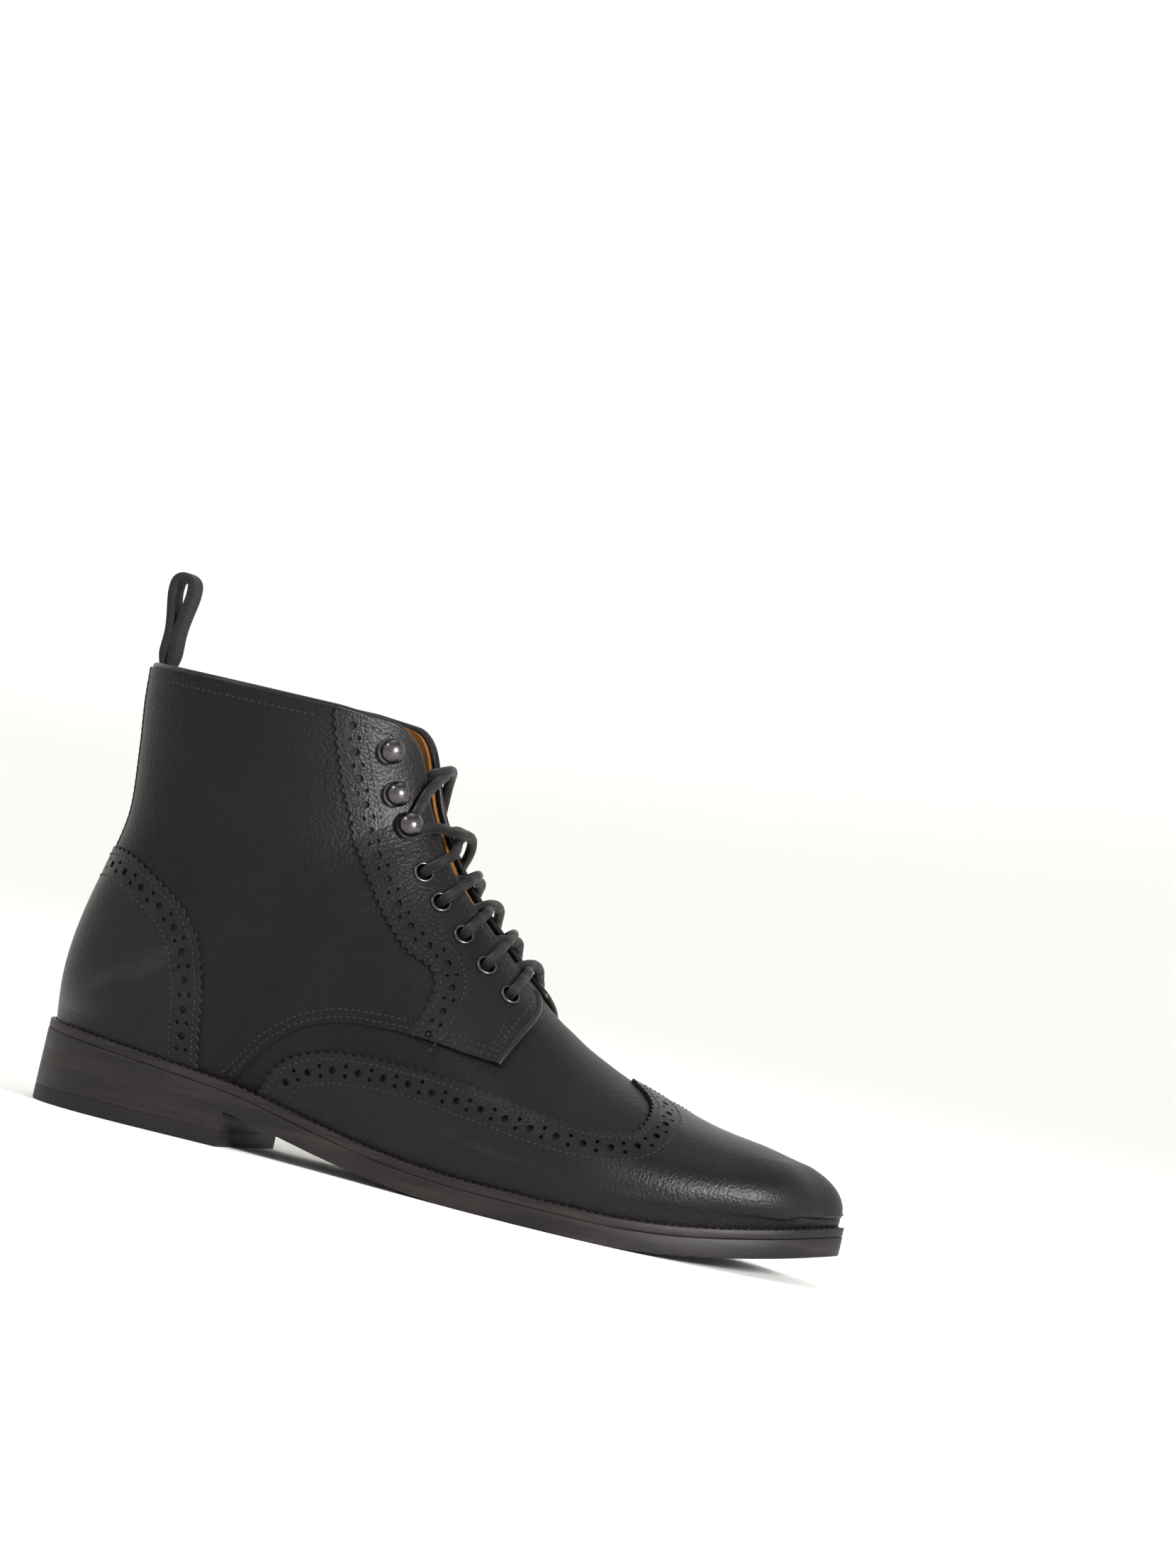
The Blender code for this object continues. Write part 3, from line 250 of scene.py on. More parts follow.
def even_curve(knots, values):
    """A cubic through the values that never overshoots them, so equal rows stay flat between."""
    knots, values = np.asarray(knots, float), np.asarray(values, float)
    slope = np.diff(values) / np.diff(knots)
    tangent = np.concatenate([slope[:1], np.zeros(len(knots) - 2), slope[-1:]])
    for i in range(1, len(knots) - 1):
        if slope[i - 1] * slope[i] > 0:
            tangent[i] = 2 * slope[i - 1] * slope[i] / (slope[i - 1] + slope[i])

    def at(where):
        where = np.clip(where, knots[0], knots[-1])
        i = np.clip(np.searchsorted(knots, where, side="right") - 1, 0, len(knots) - 2)
        step = knots[i + 1] - knots[i]
        b = (where - knots[i]) / step
        ends = values[i] * (1 + 2 * b) * (1 - b) ** 2 + values[i + 1] * b**2 * (3 - 2 * b)
        return ends + step * b * (1 - b) * (tangent[i] * (1 - b) - tangent[i + 1] * b)

    return at


def bezier(a, b, c, d, t):
    return a * (1 - t) ** 3 + 3 * b * t * (1 - t) ** 2 + 3 * c * t**2 * (1 - t) + d * t**3


def x_at(share):
    return HEEL_BACK + share * LENGTH


def outline_loop():
    """The sole's outline from above, from the toe tip down the lateral side and back."""
    lateral = [(x_at(along), -width * out) for along, width, out, _ in SOLE_OUTLINE]
    medial = [(x_at(along), width * out) for along, width, _, out in SOLE_OUTLINE]
    loop = lateral + medial[-2:0:-1]
    points = np.array(loop[-3:] + loop + loop[:4])
    knots = chord_knots(points)
    return Spline(knots, points).at(np.linspace(knots[3], knots[len(loop) + 3], 721))[:-1]


def inset(loop, distance):
    run = np.roll(loop, -1, axis=0) - np.roll(loop, 1, axis=0)
    run /= np.linalg.norm(run, axis=1)[:, None]
    return loop + np.stack([run[:, 1], -run[:, 0]], axis=1) * distance


def sides_of(loop):
    """The two sides of an outline, each from the toe tip to the heel's back."""
    loop = np.roll(loop, -int(np.argmax(loop[:, 0])), axis=0)
    back = int(np.argmin(loop[:, 0]))
    return {LATERAL: loop[: back + 1], MEDIAL: np.concatenate([loop[back:], loop[:1]])[::-1]}


def share_at(line, x):
    travel = chord_knots(line)
    order = np.argsort(line[:, 0])
    return np.interp(x, line[order, 0], travel[order]) / travel[-1]


def along_side(line, share):
    travel = chord_knots(line) / chord_knots(line)[-1]
    return np.array([np.interp(share, travel, line[:, k]) for k in (0, 1)])


OUTLINE = outline_loop()
under = even_curve([x_at(a) for a, _, _ in SOLE_PROFILE], [size * up for _, size, up in SOLE_PROFILE])
seam_in = even_curve([up for up, _ in BACK_SEAM], [share * ANKLE_WAIST for _, share in BACK_SEAM])


def sole_top(x):
    return under(x) + OUTSOLE_THICK + GAP + WELT_THICK


FEATHER = sides_of(inset(OUTLINE, LEDGE))
SEAM_FOOT = sole_top(FEATHER[LATERAL][-1, 0]) + GAP


def seam_x(z):
    return HEEL_BACK + seam_in((z - SEAM_FOOT) / (BOOT_HEIGHT - SEAM_FOOT))


def rib_spline(side):
    rows = []
    for along, up, size, foot, seam, width, lateral, medial, *handles in RIBS:
        path = share_at(FEATHER[side], x_at(foot)) if foot > 0 else 1 + seam
        half = width * (lateral if side == LATERAL else medial)
        rows.append((x_at(along), up * size, path, half, *handles))
    return Spline(range(len(RIBS)), rows)


RIB_SPLINES = {side: rib_spline(side) for side in (LATERAL, MEDIAL)}


def foot_of_rib(side, path):
    if path < 1:
        here = along_side(FEATHER[side], path)
        step = 0.004
        run = along_side(FEATHER[side], min(path + step, 1)) - along_side(FEATHER[side], path - step)
        return np.array([*here, sole_top(here[0]) + GAP]), run / np.linalg.norm(run)
    z = SEAM_FOOT + (path - 1) * (BOOT_HEIGHT - SEAM_FOOT)
    return np.array([seam_x(z), 0, z]), np.array([0, -side])


class Rib:
    """One section of the upper. Numbers below 0 fan out round the toe cap from the first row's ridge."""

    def __init__(self, side, number):
        x, z, path, half, widest, crown, shoulder, belly, root = RIB_SPLINES[side].at(max(number, 0))
        self.ridge = np.array([x, 0, z])
        if number < 0:
            side_foot = abs(foot_of_rib(side, path)[0][1])
            base, _ = foot_of_rib(side, path * (1 + number))
            flat = base[:2] - self.ridge[:2]
            self.end = np.linalg.norm(flat)
            tip = FEATHER[side][0] - self.ridge[:2]
            turn = ((tip[0] * flat[1] - tip[1] * flat[0]) / self.end / np.linalg.norm(tip)) ** 2
            self.out = np.array([*flat, -TOE_SLOPE * flat[0]]) / self.end
            self.down = np.array([0, 0, -1.0])
            self.length = z - TOE_SLOPE * flat[0] - base[2]
            half = self.end - TOE_SET + (half - side_foot + TOE_SET) * turn
            widest = TIP_WIDEST + (widest - TIP_WIDEST) * turn
            crown = TIP_CROWN + (crown - TIP_CROWN) * turn
            shoulder = TIP_CROWN + (shoulder - TIP_CROWN) * turn
            lean = np.array([-WALL_LEAN, 1])
        else:
            base, run = foot_of_rib(side, path)
            across = (base - self.ridge) * (1, 0, 1)
            self.end = abs(base[1])
            self.out = np.array([0, side, 0])
            self.length = np.linalg.norm(across)
            self.down = across / self.length
            lean = np.array([run[1] * side * abs(self.down[0]) - WALL_LEAN * abs(run[0]), abs(run[0])])
        self.lean = lean / np.linalg.norm(lean)
        self.half, self.deep = half, widest * self.length
        self.crown, self.shoulder, self.belly, self.root = crown, shoulder, belly, root

    def points(self, depth, pull=0.0, sink=0.0):
        """The section's points at an array of depths."""
        depth = np.asarray(depth, float)
        rest = self.length - self.deep
        tail = self.root * (self.lean[1] * rest + abs(self.lean[0]) * self.half)
        top, low = np.clip(depth, 0, 1), np.clip(depth - 1, 0, 1)
        out_top = bezier(0, self.crown * self.half, self.half, self.half, top)
        down_top = bezier(0, 0, self.deep * (1 - self.shoulder), self.deep, top)
        out_low = bezier(self.half, self.half, self.end - self.lean[0] * tail, self.end, low)
        down_low = bezier(
            self.deep, self.deep + self.belly * rest, self.length - self.lean[1] * tail, self.length, low
        )
        out = np.where(depth <= 1, out_top, out_low)[:, None]
        down = np.where(depth <= 1, down_top, down_low)[:, None]
        return self.ridge + self.out * out * (1 - pull) + self.down * (down + sink)


# A chart lays the upper flat in (rib, depth), stretched to roughly real lengths for even meshing
RIB_MM = 12 * MM
FAN_MM = 48 * MM
DEPTH_MM = 50 * MM


def to_flat(chart):
    chart = np.asarray(chart, float)
    along = np.where(chart[..., 0] < 0, chart[..., 0] * FAN_MM, chart[..., 0] * RIB_MM)
    return np.stack([along, chart[..., 1] * DEPTH_MM], axis=-1)


def from_flat(flat):
    flat = np.asarray(flat, float)
    rib = np.where(flat[..., 0] < 0, flat[..., 0] / FAN_MM, flat[..., 0] / RIB_MM)
    return np.stack([rib, flat[..., 1] / DEPTH_MM], axis=-1)


class Skin:
    """The upper's outside, looked up in a fine table of its ribs."""

    def __init__(self):
        self.ribs = np.concatenate([np.linspace(-1, 0, 41)[:-1], np.linspace(0, LAST_RIB, 361)])
        self.depths = np.linspace(0, 2, 101)
        self.points, self.normals = {}, {}
        for side in (LATERAL, MEDIAL):
            self.points[side] = np.array([Rib(side, rib).points(self.depths) for rib in self.ribs])
        for side in (LATERAL, MEDIAL):
            self.ease_heel(side)
        pole = int(np.searchsorted(self.ribs, 0))
        seam = int(np.searchsorted(self.ribs, SEAM_RIB))
        for side in (LATERAL, MEDIAL):
            self.normals[side][:pole, 0] = self.normals[side][pole, 0]
            length = np.linalg.norm(self.normals[side], axis=2)[..., None]
            self.normals[side] = self.normals[side] / np.maximum(length, 1e-12)
        for where in ((slice(None), 0), (0, slice(None)), (slice(seam, None), -1)):
            both = self.normals[LATERAL][where] + self.normals[MEDIAL][where]
            both /= np.linalg.norm(both, axis=-1)[..., None]
            self.normals[LATERAL][where] = self.normals[MEDIAL][where] = both

    def ease_heel(self, side):
        """Smooths the heel where the ribs turn from the foot's edge to the back seam, then finds normals."""
        grid = self.points[side]
        reach = np.arange(-24, 25)
        weight = np.exp(-((reach * 0.05 / 0.55) ** 2))
        eased = np.zeros_like(grid)
        for step, share in zip(reach, weight / weight.sum()):
            eased += share * grid[np.clip(np.arange(len(grid)) + step, 0, len(grid) - 1)]
        near = np.clip((2.6 - np.abs(self.ribs - SEAM_RIB)) / 1.3, 0, 1)[:, None]
        deep = np.clip((self.depths - 0.9) / 0.3, 0, 1) * np.clip((2 - self.depths) / 0.12, 0, 1)
        share = (near * deep[None])[..., None]
        grid = grid * (1 - share) + eased * share
        along, down = np.gradient(grid, self.ribs, self.depths, axis=(0, 1))
        self.points[side] = grid
        self.normals[side] = np.cross(down, along) * side

    def look_up(self, side, chart):
        chart = np.asarray(chart, float)
        u, v = np.clip(chart[..., 0], -1, LAST_RIB), np.clip(chart[..., 1], 0, 2)
        i = np.clip(np.searchsorted(self.ribs, u, side="right") - 1, 0, len(self.ribs) - 2)
        a = ((u - self.ribs[i]) / (self.ribs[i + 1] - self.ribs[i]))[..., None]
        j = np.clip((v * 50).astype(int), 0, 99)
        b = (v * 50 - j)[..., None]

        def blend(table):
            low = table[i, j] * (1 - b) + table[i, j + 1] * b
            high = table[i + 1, j] * (1 - b) + table[i + 1, j + 1] * b
            return low * (1 - a) + high * a

        normal = blend(self.normals[side])
        return blend(self.points[side]), normal / np.linalg.norm(normal, axis=-1)[..., None]

    def at(self, side, chart, height=0.0):
        """Points this high above the skin. A negative depth is on the other side of the ridge."""
        chart = np.atleast_2d(np.asarray(chart, float))
        other = chart[:, 1] < 0
        mirrored = np.abs(chart * (0, 1)) + chart * (1, 0)
        point, normal = self.look_up(side, mirrored)
        far_point, far_normal = self.look_up(-side, mirrored)
        point = np.where(other[:, None], far_point, point)
        normal = np.where(other[:, None], far_normal, normal)
        lift = np.asarray(height) + folds(mirrored)
        return point + normal * lift[:, None]

    def normal(self, side, mark):
        return self.look_up(side, np.array(mark))[1]

    def frames(self, side, chart):
        """For each chart point: the skin's directions per unit of rib and of depth, and its normal."""
        step = np.array([[0.03, 0], [0, 0.01]])
        low = [np.clip(chart - s, (-1, 0), (LAST_RIB, 2)) for s in step]
        high = [np.clip(chart + s, (-1, 0), (LAST_RIB, 2)) for s in step]
        spans = [(h - l)[:, k][:, None] for k, (l, h) in enumerate(zip(low, high))]
        ways = [(self.look_up(side, h)[0] - self.look_up(side, l)[0]) / s for l, h, s in zip(low, high, spans)]
        return ways[0], ways[1], self.look_up(side, chart)[1]


def folds(chart):
    """How far the leather lies off its skin: sunk at its soft folds, and raised over the toe puff."""
    lift = sum(-ridge_of(chart, *fold) for fold in FOLDS)
    return lift + ridge_of(chart, *TOE_PUFF) * np.clip(chart[:, 1] / 0.4, 0, 1) ** 2


def ridge_of(chart, rib, depth, to_rib, to_depth, width, size):
    """A soft ridge of this size along a line of the chart."""
    flat = to_flat(chart)
    start, end = to_flat((rib, depth)), to_flat((to_rib, to_depth))
    run = end - start
    share = np.clip((flat - start) @ run / (run @ run), 0, 1)
    away = np.linalg.norm(flat - start - share[:, None] * run, axis=1)
    return size * np.exp(-((away / width) ** 2))


SKIN = Skin()


def shifted(side, chart, move):
    """The chart points moved by 3-D vectors that lie in the skin."""
    by_rib, by_depth, _ = SKIN.frames(side, chart)
    a, b, c = (by_rib**2).sum(1), (by_rib * by_depth).sum(1), (by_depth**2).sum(1)
    p, q = (by_rib * move).sum(1), (by_depth * move).sum(1)
    det = np.maximum(a * c - b * b, 1e-14)
    return chart + np.stack([(c * p - b * q) / det, (a * q - b * p) / det], axis=1)


def run_of(points):
    run = np.gradient(points, axis=0)
    return run / np.maximum(np.linalg.norm(run, axis=1)[:, None], 1e-12)


def across_of(side, chart):
    """Unit vectors in the skin, square to the line. On either side of the boot they point the same way."""
    points = SKIN.look_up(side, chart)[0]
    return np.cross(SKIN.look_up(side, chart)[1], run_of(points)) * side


def even_line(side, chart, step):
    """The line with a point every step along the skin."""
    fine = []
    for a, b in zip(chart[:-1], chart[1:]):
        fine.append(a + (b - a) * np.linspace(0, 1, 12, endpoint=False)[:, None])
    fine = np.concatenate(fine + [chart[-1:]])
    travel = chord_knots(SKIN.look_up(side, fine)[0])
    count = max(int(round(travel[-1] / step)), 2)
    where = np.linspace(0, travel[-1], count + 1)
    return np.stack([np.interp(where, travel, fine[:, k]) for k in (0, 1)], axis=1)


def smooth_line(marks, count=240):
    """A smooth line in the chart through marks."""
    marks = np.array(marks, float)
    knots = chord_knots(to_flat(marks))
    return from_flat(Spline(knots, to_flat(marks)).at(np.linspace(0, knots[-1], count)))


def beside(side, chart, distance, step=1.2 * MM):
    """A line this far beside another, measured along the skin."""
    line = even_line(side, chart, step)
    steps = max(int(abs(distance) / (1.6 * MM)) + 1, 1)
    for _ in range(steps):
        line = shifted(side, line, across_of(side, line) * distance / steps)
        line = np.clip(line, (-1, 0), (LAST_RIB, 2))
        line = even_line(side, line, step)
    return line


def gimped(side, chart, pitch, depth):
    """A pinked edge: small teeth cut along a line."""
    line = even_line(side, chart, pitch / 6)
    phase = (np.arange(len(line)) % 6) / 6
    tooth = np.abs(phase * 2 - 1) * 2 - 1
    tooth[0] = tooth[-1] = 0
    fade = np.minimum(1, np.minimum(line[:, 1], 2 - line[:, 1]) * 40)
    return shifted(side, line, across_of(side, line) * (tooth * fade * depth / 2)[:, None])


# Materials


def linear(colour):
    """An sRGB hex colour as the linear values that shaders take."""
    values = [int(colour[i : i + 2], 16) / 255 for i in (1, 3, 5)]
    return [v / 12.92 if v <= 0.04045 else ((v + 0.055) / 1.055) ** 2.4 for v in values] + [1.0]


def node(tree, kind, settings=None, **links):
    """Adds a node, with its settings and its inputs: a value, or the output socket that feeds it."""
    made = tree.nodes.new(kind)
    for name, value in (settings or {}).items():
        setattr(made, name, value)
    for name, value in links.items():
        socket = made.inputs[int(name[1:]) if name[1:].isdigit() else name.replace("_", " ")]
        if isinstance(value, bpy.types.NodeSocket):
            tree.links.new(value, socket)
        else:
            socket.default_value = value
    return made


def new_material(name, **values):
    made = bpy.data.materials.new(name)
    made.use_nodes = True
    tree = made.node_tree
    shader = tree.nodes["Principled BSDF"]
    for key, value in values.items():
        shader.inputs[key.replace("_", " ")].default_value = value
    return made, tree, shader


def ramp(tree, factor, stops):
    made = node(tree, "ShaderNodeValToRGB", x0=factor)
    while len(made.color_ramp.elements) < len(stops):
        made.color_ramp.elements.new(0.5)
    for element, (place, colour) in zip(made.color_ramp.elements, stops):
        element.position = place
        element.color = colour
    return made.outputs[0]


def grey(value):
    return (value, value, value, 1)


def leather(name, colour, worn, roughness, pebble, pebble_depth, shine=0.5):
    """Calf leather, drum dyed and plated: fine pebbles with creases between them, and a satin top coat."""
    made, tree, shader = new_material(name, Specular_IOR_Level=shine)
    place = node(tree, "ShaderNodeTexCoord").outputs["Object"]
    pebbles = node(
        tree, "ShaderNodeTexVoronoi", {"feature": "SMOOTH_F1"}, Vector=place, Scale=1 / pebble, Smoothness=0.6
    )
    warp = node(tree, "ShaderNodeTexNoise", Vector=place, Scale=0.45 / pebble, Detail=3.0)
    fine = node(tree, "ShaderNodeTexNoise", Vector=place, Scale=3.2 / pebble, Detail=2.0)
    broad = node(tree, "ShaderNodeTexNoise", Vector=place, Scale=28.0, Detail=3.0)
    sum_one = node(
        tree, "ShaderNodeMath", {"operation": "MULTIPLY_ADD"}, x0=warp.outputs[0], x1=0.22, x2=pebbles.outputs[0]
    )
    sum_two = node(tree, "ShaderNodeMath", {"operation": "MULTIPLY_ADD"}, x0=fine.outputs[0], x1=0.25, x2=sum_one.outputs[0])
    bump = node(tree, "ShaderNodeBump", {"invert": True}, Height=sum_two.outputs[0], Distance=pebble_depth, Strength=1.0)
    tree.links.new(bump.outputs[0], shader.inputs["Normal"])
    tone = ramp(tree, broad.outputs[0], [(0.3, colour), (0.75, worn)])
    tree.links.new(tone, shader.inputs["Base Color"])
    gloss = ramp(tree, broad.outputs[0], [(0.3, grey(roughness)), (0.8, grey(roughness + 0.08))])
    tree.links.new(gloss, shader.inputs["Roughness"])
    return made


def suede(name, colour, dark):
    """Vegetable-tanned lining, buffed: a short nap with no shine."""
    made, tree, shader = new_material(name, Roughness=0.92, Specular_IOR_Level=0.2)
    place = node(tree, "ShaderNodeTexCoord").outputs["Object"]
    nap = node(tree, "ShaderNodeTexNoise", Vector=place, Scale=1600.0, Detail=3.0)
    broad = node(tree, "ShaderNodeTexNoise", Vector=place, Scale=90.0, Detail=4.0)
    tone = ramp(tree, broad.outputs[0], [(0.35, dark), (0.7, colour)])
    bump = node(tree, "ShaderNodeBump", Height=nap.outputs[0], Distance=0.00012, Strength=0.8)
    tree.links.new(tone, shader.inputs["Base Color"])
    tree.links.new(bump.outputs[0], shader.inputs["Normal"])
    return made


def stacked(name, colour, light, roughness):
    """Leather layers glued, trimmed, stained and burnished: fine streaks along the layers."""
    made, tree, shader = new_material(name, Specular_IOR_Level=0.25)
    place = node(tree, "ShaderNodeTexCoord").outputs["Object"]
    flat = node(tree, "ShaderNodeMapping", Vector=place, Scale=(14.0, 14.0, 520.0))
    streaks = node(tree, "ShaderNodeTexNoise", Vector=flat.outputs[0], Scale=1.0, Detail=5.0, Roughness=0.65)
    wide = node(tree, "ShaderNodeMapping", Vector=place, Scale=(22.0, 22.0, 120.0))
    bands = node(tree, "ShaderNodeTexNoise", Vector=wide.outputs[0], Scale=1.0, Detail=3.0)
    mixed = node(tree, "ShaderNodeMath", {"operation": "MULTIPLY"}, x0=streaks.outputs[0], x1=bands.outputs[0])
    tone = ramp(tree, mixed.outputs[0], [(0.18, colour), (0.42, light)])
    gloss = ramp(tree, bands.outputs[0], [(0.3, grey(roughness)), (0.7, grey(roughness + 0.15))])
    bump = node(tree, "ShaderNodeBump", Height=streaks.outputs[0], Distance=0.00012, Strength=0.6)
    for output, socket in ((tone, "Base Color"), (gloss, "Roughness"), (bump.outputs[0], "Normal")):
        tree.links.new(output, shader.inputs[socket])
    return made


def braid(name, colour, light, strands, pitch):
    """Waxed polyester braid: strands cross round the cord, which its own UV map in metres follows. The strands'
    crowns get a lighter colour, a painted highlight.
    """
    made, tree, shader = new_material(name, Roughness=0.45, Specular_IOR_Level=0.4)
    uv = node(tree, "ShaderNodeTexCoord").outputs["UV"]
    parts = node(tree, "ShaderNodeSeparateXYZ", Vector=uv)
    waves = []
    for way in (1, -1):
        turn = node(tree, "ShaderNodeMath", {"operation": "MULTIPLY"}, x0=parts.outputs[0], x1=strands * math.tau)
        phase = node(
            tree,
            "ShaderNodeMath",
            {"operation": "MULTIPLY_ADD"},
            x0=parts.outputs[1],
            x1=way * math.tau / pitch,
            x2=turn.outputs[0],
        )
        waves.append(node(tree, "ShaderNodeMath", {"operation": "SINE"}, x0=phase.outputs[0]).outputs[0])
    height = node(tree, "ShaderNodeMath", {"operation": "MULTIPLY"}, x0=waves[0], x1=waves[1])
    bump = node(tree, "ShaderNodeBump", Height=height.outputs[0], Distance=0.0008, Strength=1.0)
    # Lighter colour on the braid's crowns: a painted highlight
    tone = ramp(tree, height.outputs[0], [(0.0, colour), (0.9, light)])
    tree.links.new(tone, shader.inputs["Base Color"])
    tree.links.new(bump.outputs[0], shader.inputs["Normal"])
    return made


def plated(name, colour, roughness):
    """Brass pressings with a dark nickel plating: smooth, with a little haze from wear."""
    made, tree, shader = new_material(name, Base_Color=colour, Metallic=1.0)
    place = node(tree, "ShaderNodeTexCoord").outputs["Object"]
    haze = node(tree, "ShaderNodeTexNoise", Vector=place, Scale=900.0, Detail=3.0)
    gloss = ramp(tree, haze.outputs[0], [(0.3, grey(roughness)), (0.75, grey(roughness + 0.12))])
    tree.links.new(gloss, shader.inputs["Roughness"])
    return made


def webbing_tape(name, colour):
    """Woven polyester tape: fine ribs across it."""
    made, tree, shader = new_material(name, Base_Color=colour, Roughness=0.75, Specular_IOR_Level=0.3)
    place = node(tree, "ShaderNodeTexCoord").outputs["Object"]
    ribs = node(tree, "ShaderNodeTexWave", {"bands_direction": "Z"}, Vector=place, Scale=330.0, Distortion=0.6)
    bump = node(tree, "ShaderNodeBump", Height=ribs.outputs[0], Distance=0.00015, Strength=0.8)
    tree.links.new(bump.outputs[0], shader.inputs["Normal"])
    return made


def plain(name, colour, roughness, speckle=0.0001, size=1500.0):
    """A rubber or thread surface: one colour with a slight tooth."""
    made, tree, shader = new_material(
        name, Base_Color=colour, Roughness=roughness, Specular_IOR_Level=0.25
    )
    place = node(tree, "ShaderNodeTexCoord").outputs["Object"]
    tooth = node(tree, "ShaderNodeTexNoise", Vector=place, Scale=size, Detail=2.0)
    bump = node(tree, "ShaderNodeBump", Height=tooth.outputs[0], Distance=speckle, Strength=0.6)
    tree.links.new(bump.outputs[0], shader.inputs["Normal"])
    return made


FINISHES = {}


def finish(name):
    """The boot's materials, made once."""
    if not FINISHES:
        look = bpy.context.scene.boot_finishes
        FINISHES.update(
            vamp=leather("satin_calf_leather", look.leather, look.leather_worn, 0.42, 1.15 * MM, 0.17 * MM, 0.14),
            band=leather("polished_calf_leather", look.overlay, look.leather_worn, 0.36, 1.05 * MM, 0.13 * MM, 0.19),
            edge=plain("dyed_cut_leather_edge", look.leather, 0.6),
            bead=leather("skived_binding_leather", look.leather, look.leather_worn, 0.34, 0.7 * MM, 0.05 * MM, 0.26),
            lining=suede("buffed_tan_lining_leather", look.lining, look.lining_dark),
            stack=stacked("burnished_stacked_leather", look.sole, look.sole_streak, 0.42),
            rubber=plain("moulded_heel_rubber", look.sole, 0.6),
            thread=plain("bonded_polyester_thread", look.thread, 0.4, 0.00005, 4000.0),
            lace=braid("waxed_braided_lace", look.lace, look.lace_crown_highlight, 4, 5.0 * MM),
            metal=plated("dark_nickel_plated_brass", look.metal, 0.2),
            tape=webbing_tape("woven_pull_tape", look.lace),
        )
    return FINISHES[name]


# Mesh helpers


def place_piece(name, shape, material, replaces=(), smooth_angle=40):
    """Puts a finished bmesh in the scene as a piece that rides on the boot."""
    mesh = bpy.data.meshes.new(name)
    shape.to_mesh(mesh)
    shape.free()
    return place_mesh(name, mesh, material, replaces, smooth_angle)


def place_mesh(name, mesh, material, replaces=(), smooth_angle=40):
    mesh.materials.clear()
    mesh.materials.append(finish(material))
    mesh.shade_smooth()
    mesh.set_sharp_from_angle(angle=math.radians(smooth_angle))
    sides = {}
    for face in mesh.polygons:
        for key in face.edge_keys:
            sides[key] = sides.get(key, 0) + 1
    for edge in mesh.edges:
        if sides.get(edge.key, 0) == 1:
            edge.use_edge_sharp = True
    piece = bpy.data.objects.new(name, mesh)
    bpy.context.scene.collection.objects.link(piece)
    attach(piece, "root")
    if replaces:
        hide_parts(*replaces)
    return piece


def inside_of(points, loop):
    """Which flat points lie inside a closed loop."""
    inside = np.zeros(len(points), bool)
    x, y = points[:, 0], points[:, 1]
    for (ax, ay), (bx, by) in zip(loop, np.roll(loop, -1, axis=0)):
        if ay != by:
            crosses = (ay > y) != (by > y)
            inside ^= crosses & (x < (bx - ax) * (y - ay) / (by - ay) + ax)
    return inside


def far_from(points, line, distance):
    """Which flat points lie at least this far from the line's points."""
    keep = np.ones(len(points), bool)
    for start in range(0, len(line), 200):
        gaps = points[:, None, :] - line[None, start : start + 200, :]
        keep &= (gaps**2).sum(2).min(1) > distance**2
    return keep


def trim(line, step):
    """A chart line with a point about every step of the flat chart."""
    flat = to_flat(line)
    travel = chord_knots(flat)
    keep = np.concatenate([[True], np.diff(travel) > 1e-9])
    travel, flat = travel[keep], flat[keep]
    count = max(int(round(travel[-1] / step)), 1)
    where = np.linspace(0, travel[-1], count + 1)
    return from_flat(np.stack([np.interp(where, travel, flat[:, k]) for k in (0, 1)], axis=1))


def join_lines(*lines):
    """Lines joined end to end into one outline, without repeated points."""
    loop = [lines[0][0]]
    for line in lines:
        for point in line:
            if np.linalg.norm(to_flat(point) - to_flat(loop[-1])) > 0.02 * MM:
                loop.append(point)
    if np.linalg.norm(to_flat(loop[0]) - to_flat(loop[-1])) < 0.02 * MM:
        loop.pop()
    return np.array(loop)


def half_panel(shape, side, outline, height, step, holes=()):
    """Adds one side of a leather panel to a bmesh: its outline and punched holes are meshed flat in the
    chart, and the mesh is then laid on the skin."""
    loop = to_flat(outline)
    low, high = loop.min(0), loop.max(0)
    xs = np.arange(low[0] + step / 2, high[0], step)
    ys = np.arange(low[1] + step / 2, high[1], step)
    grid = np.array([(x, y + (i % 2) * step / 2) for i, x in enumerate(xs) for y in ys])
    grid = grid[inside_of(grid, loop)]
    grid = grid[far_from(grid, loop, step * 0.55)]
    rings = [to_flat(ring) for ring in holes]
    rings = [ring for ring in rings if inside_of(ring, loop).all()]
    if rings:
        grid = grid[far_from(grid, np.concatenate(rings), step * 0.45)]
        for ring in rings:
            grid = grid[~inside_of(grid, ring)]
    points, edges, start = [], [], 0
    for ring in [loop] + rings:
        points.append(ring)
        edges += [(start + i, start + (i + 1) % len(ring)) for i in range(len(ring))]
        start += len(ring)
    flat = np.concatenate(points + [grid])
    # Blender's own triangulation works on values near 1, so it is given millimetres
    verts, _, faces, *_ = delaunay_2d_cdt([Vector(p) for p in flat / MM], edges, [], 1, 1e-6)
    flat = np.array([tuple(v) for v in verts]) * MM
    laid = SKIN.at(side, from_flat(flat), height)
    made = [shape.verts.new(point) for point in laid]
    centres = np.array([flat[list(face)].mean(0) for face in faces])
    keep = np.ones(len(faces), bool)
    for ring in rings:
        near = (np.abs(centres - ring.mean(0)) < 3 * MM).all(1)
        keep[near] &= ~inside_of(centres[near], ring)
    for face, kept in zip(faces, keep):
        if kept:
            corners = [made[i] for i in face]
            shape.faces.new(corners if side == LATERAL else corners[::-1])


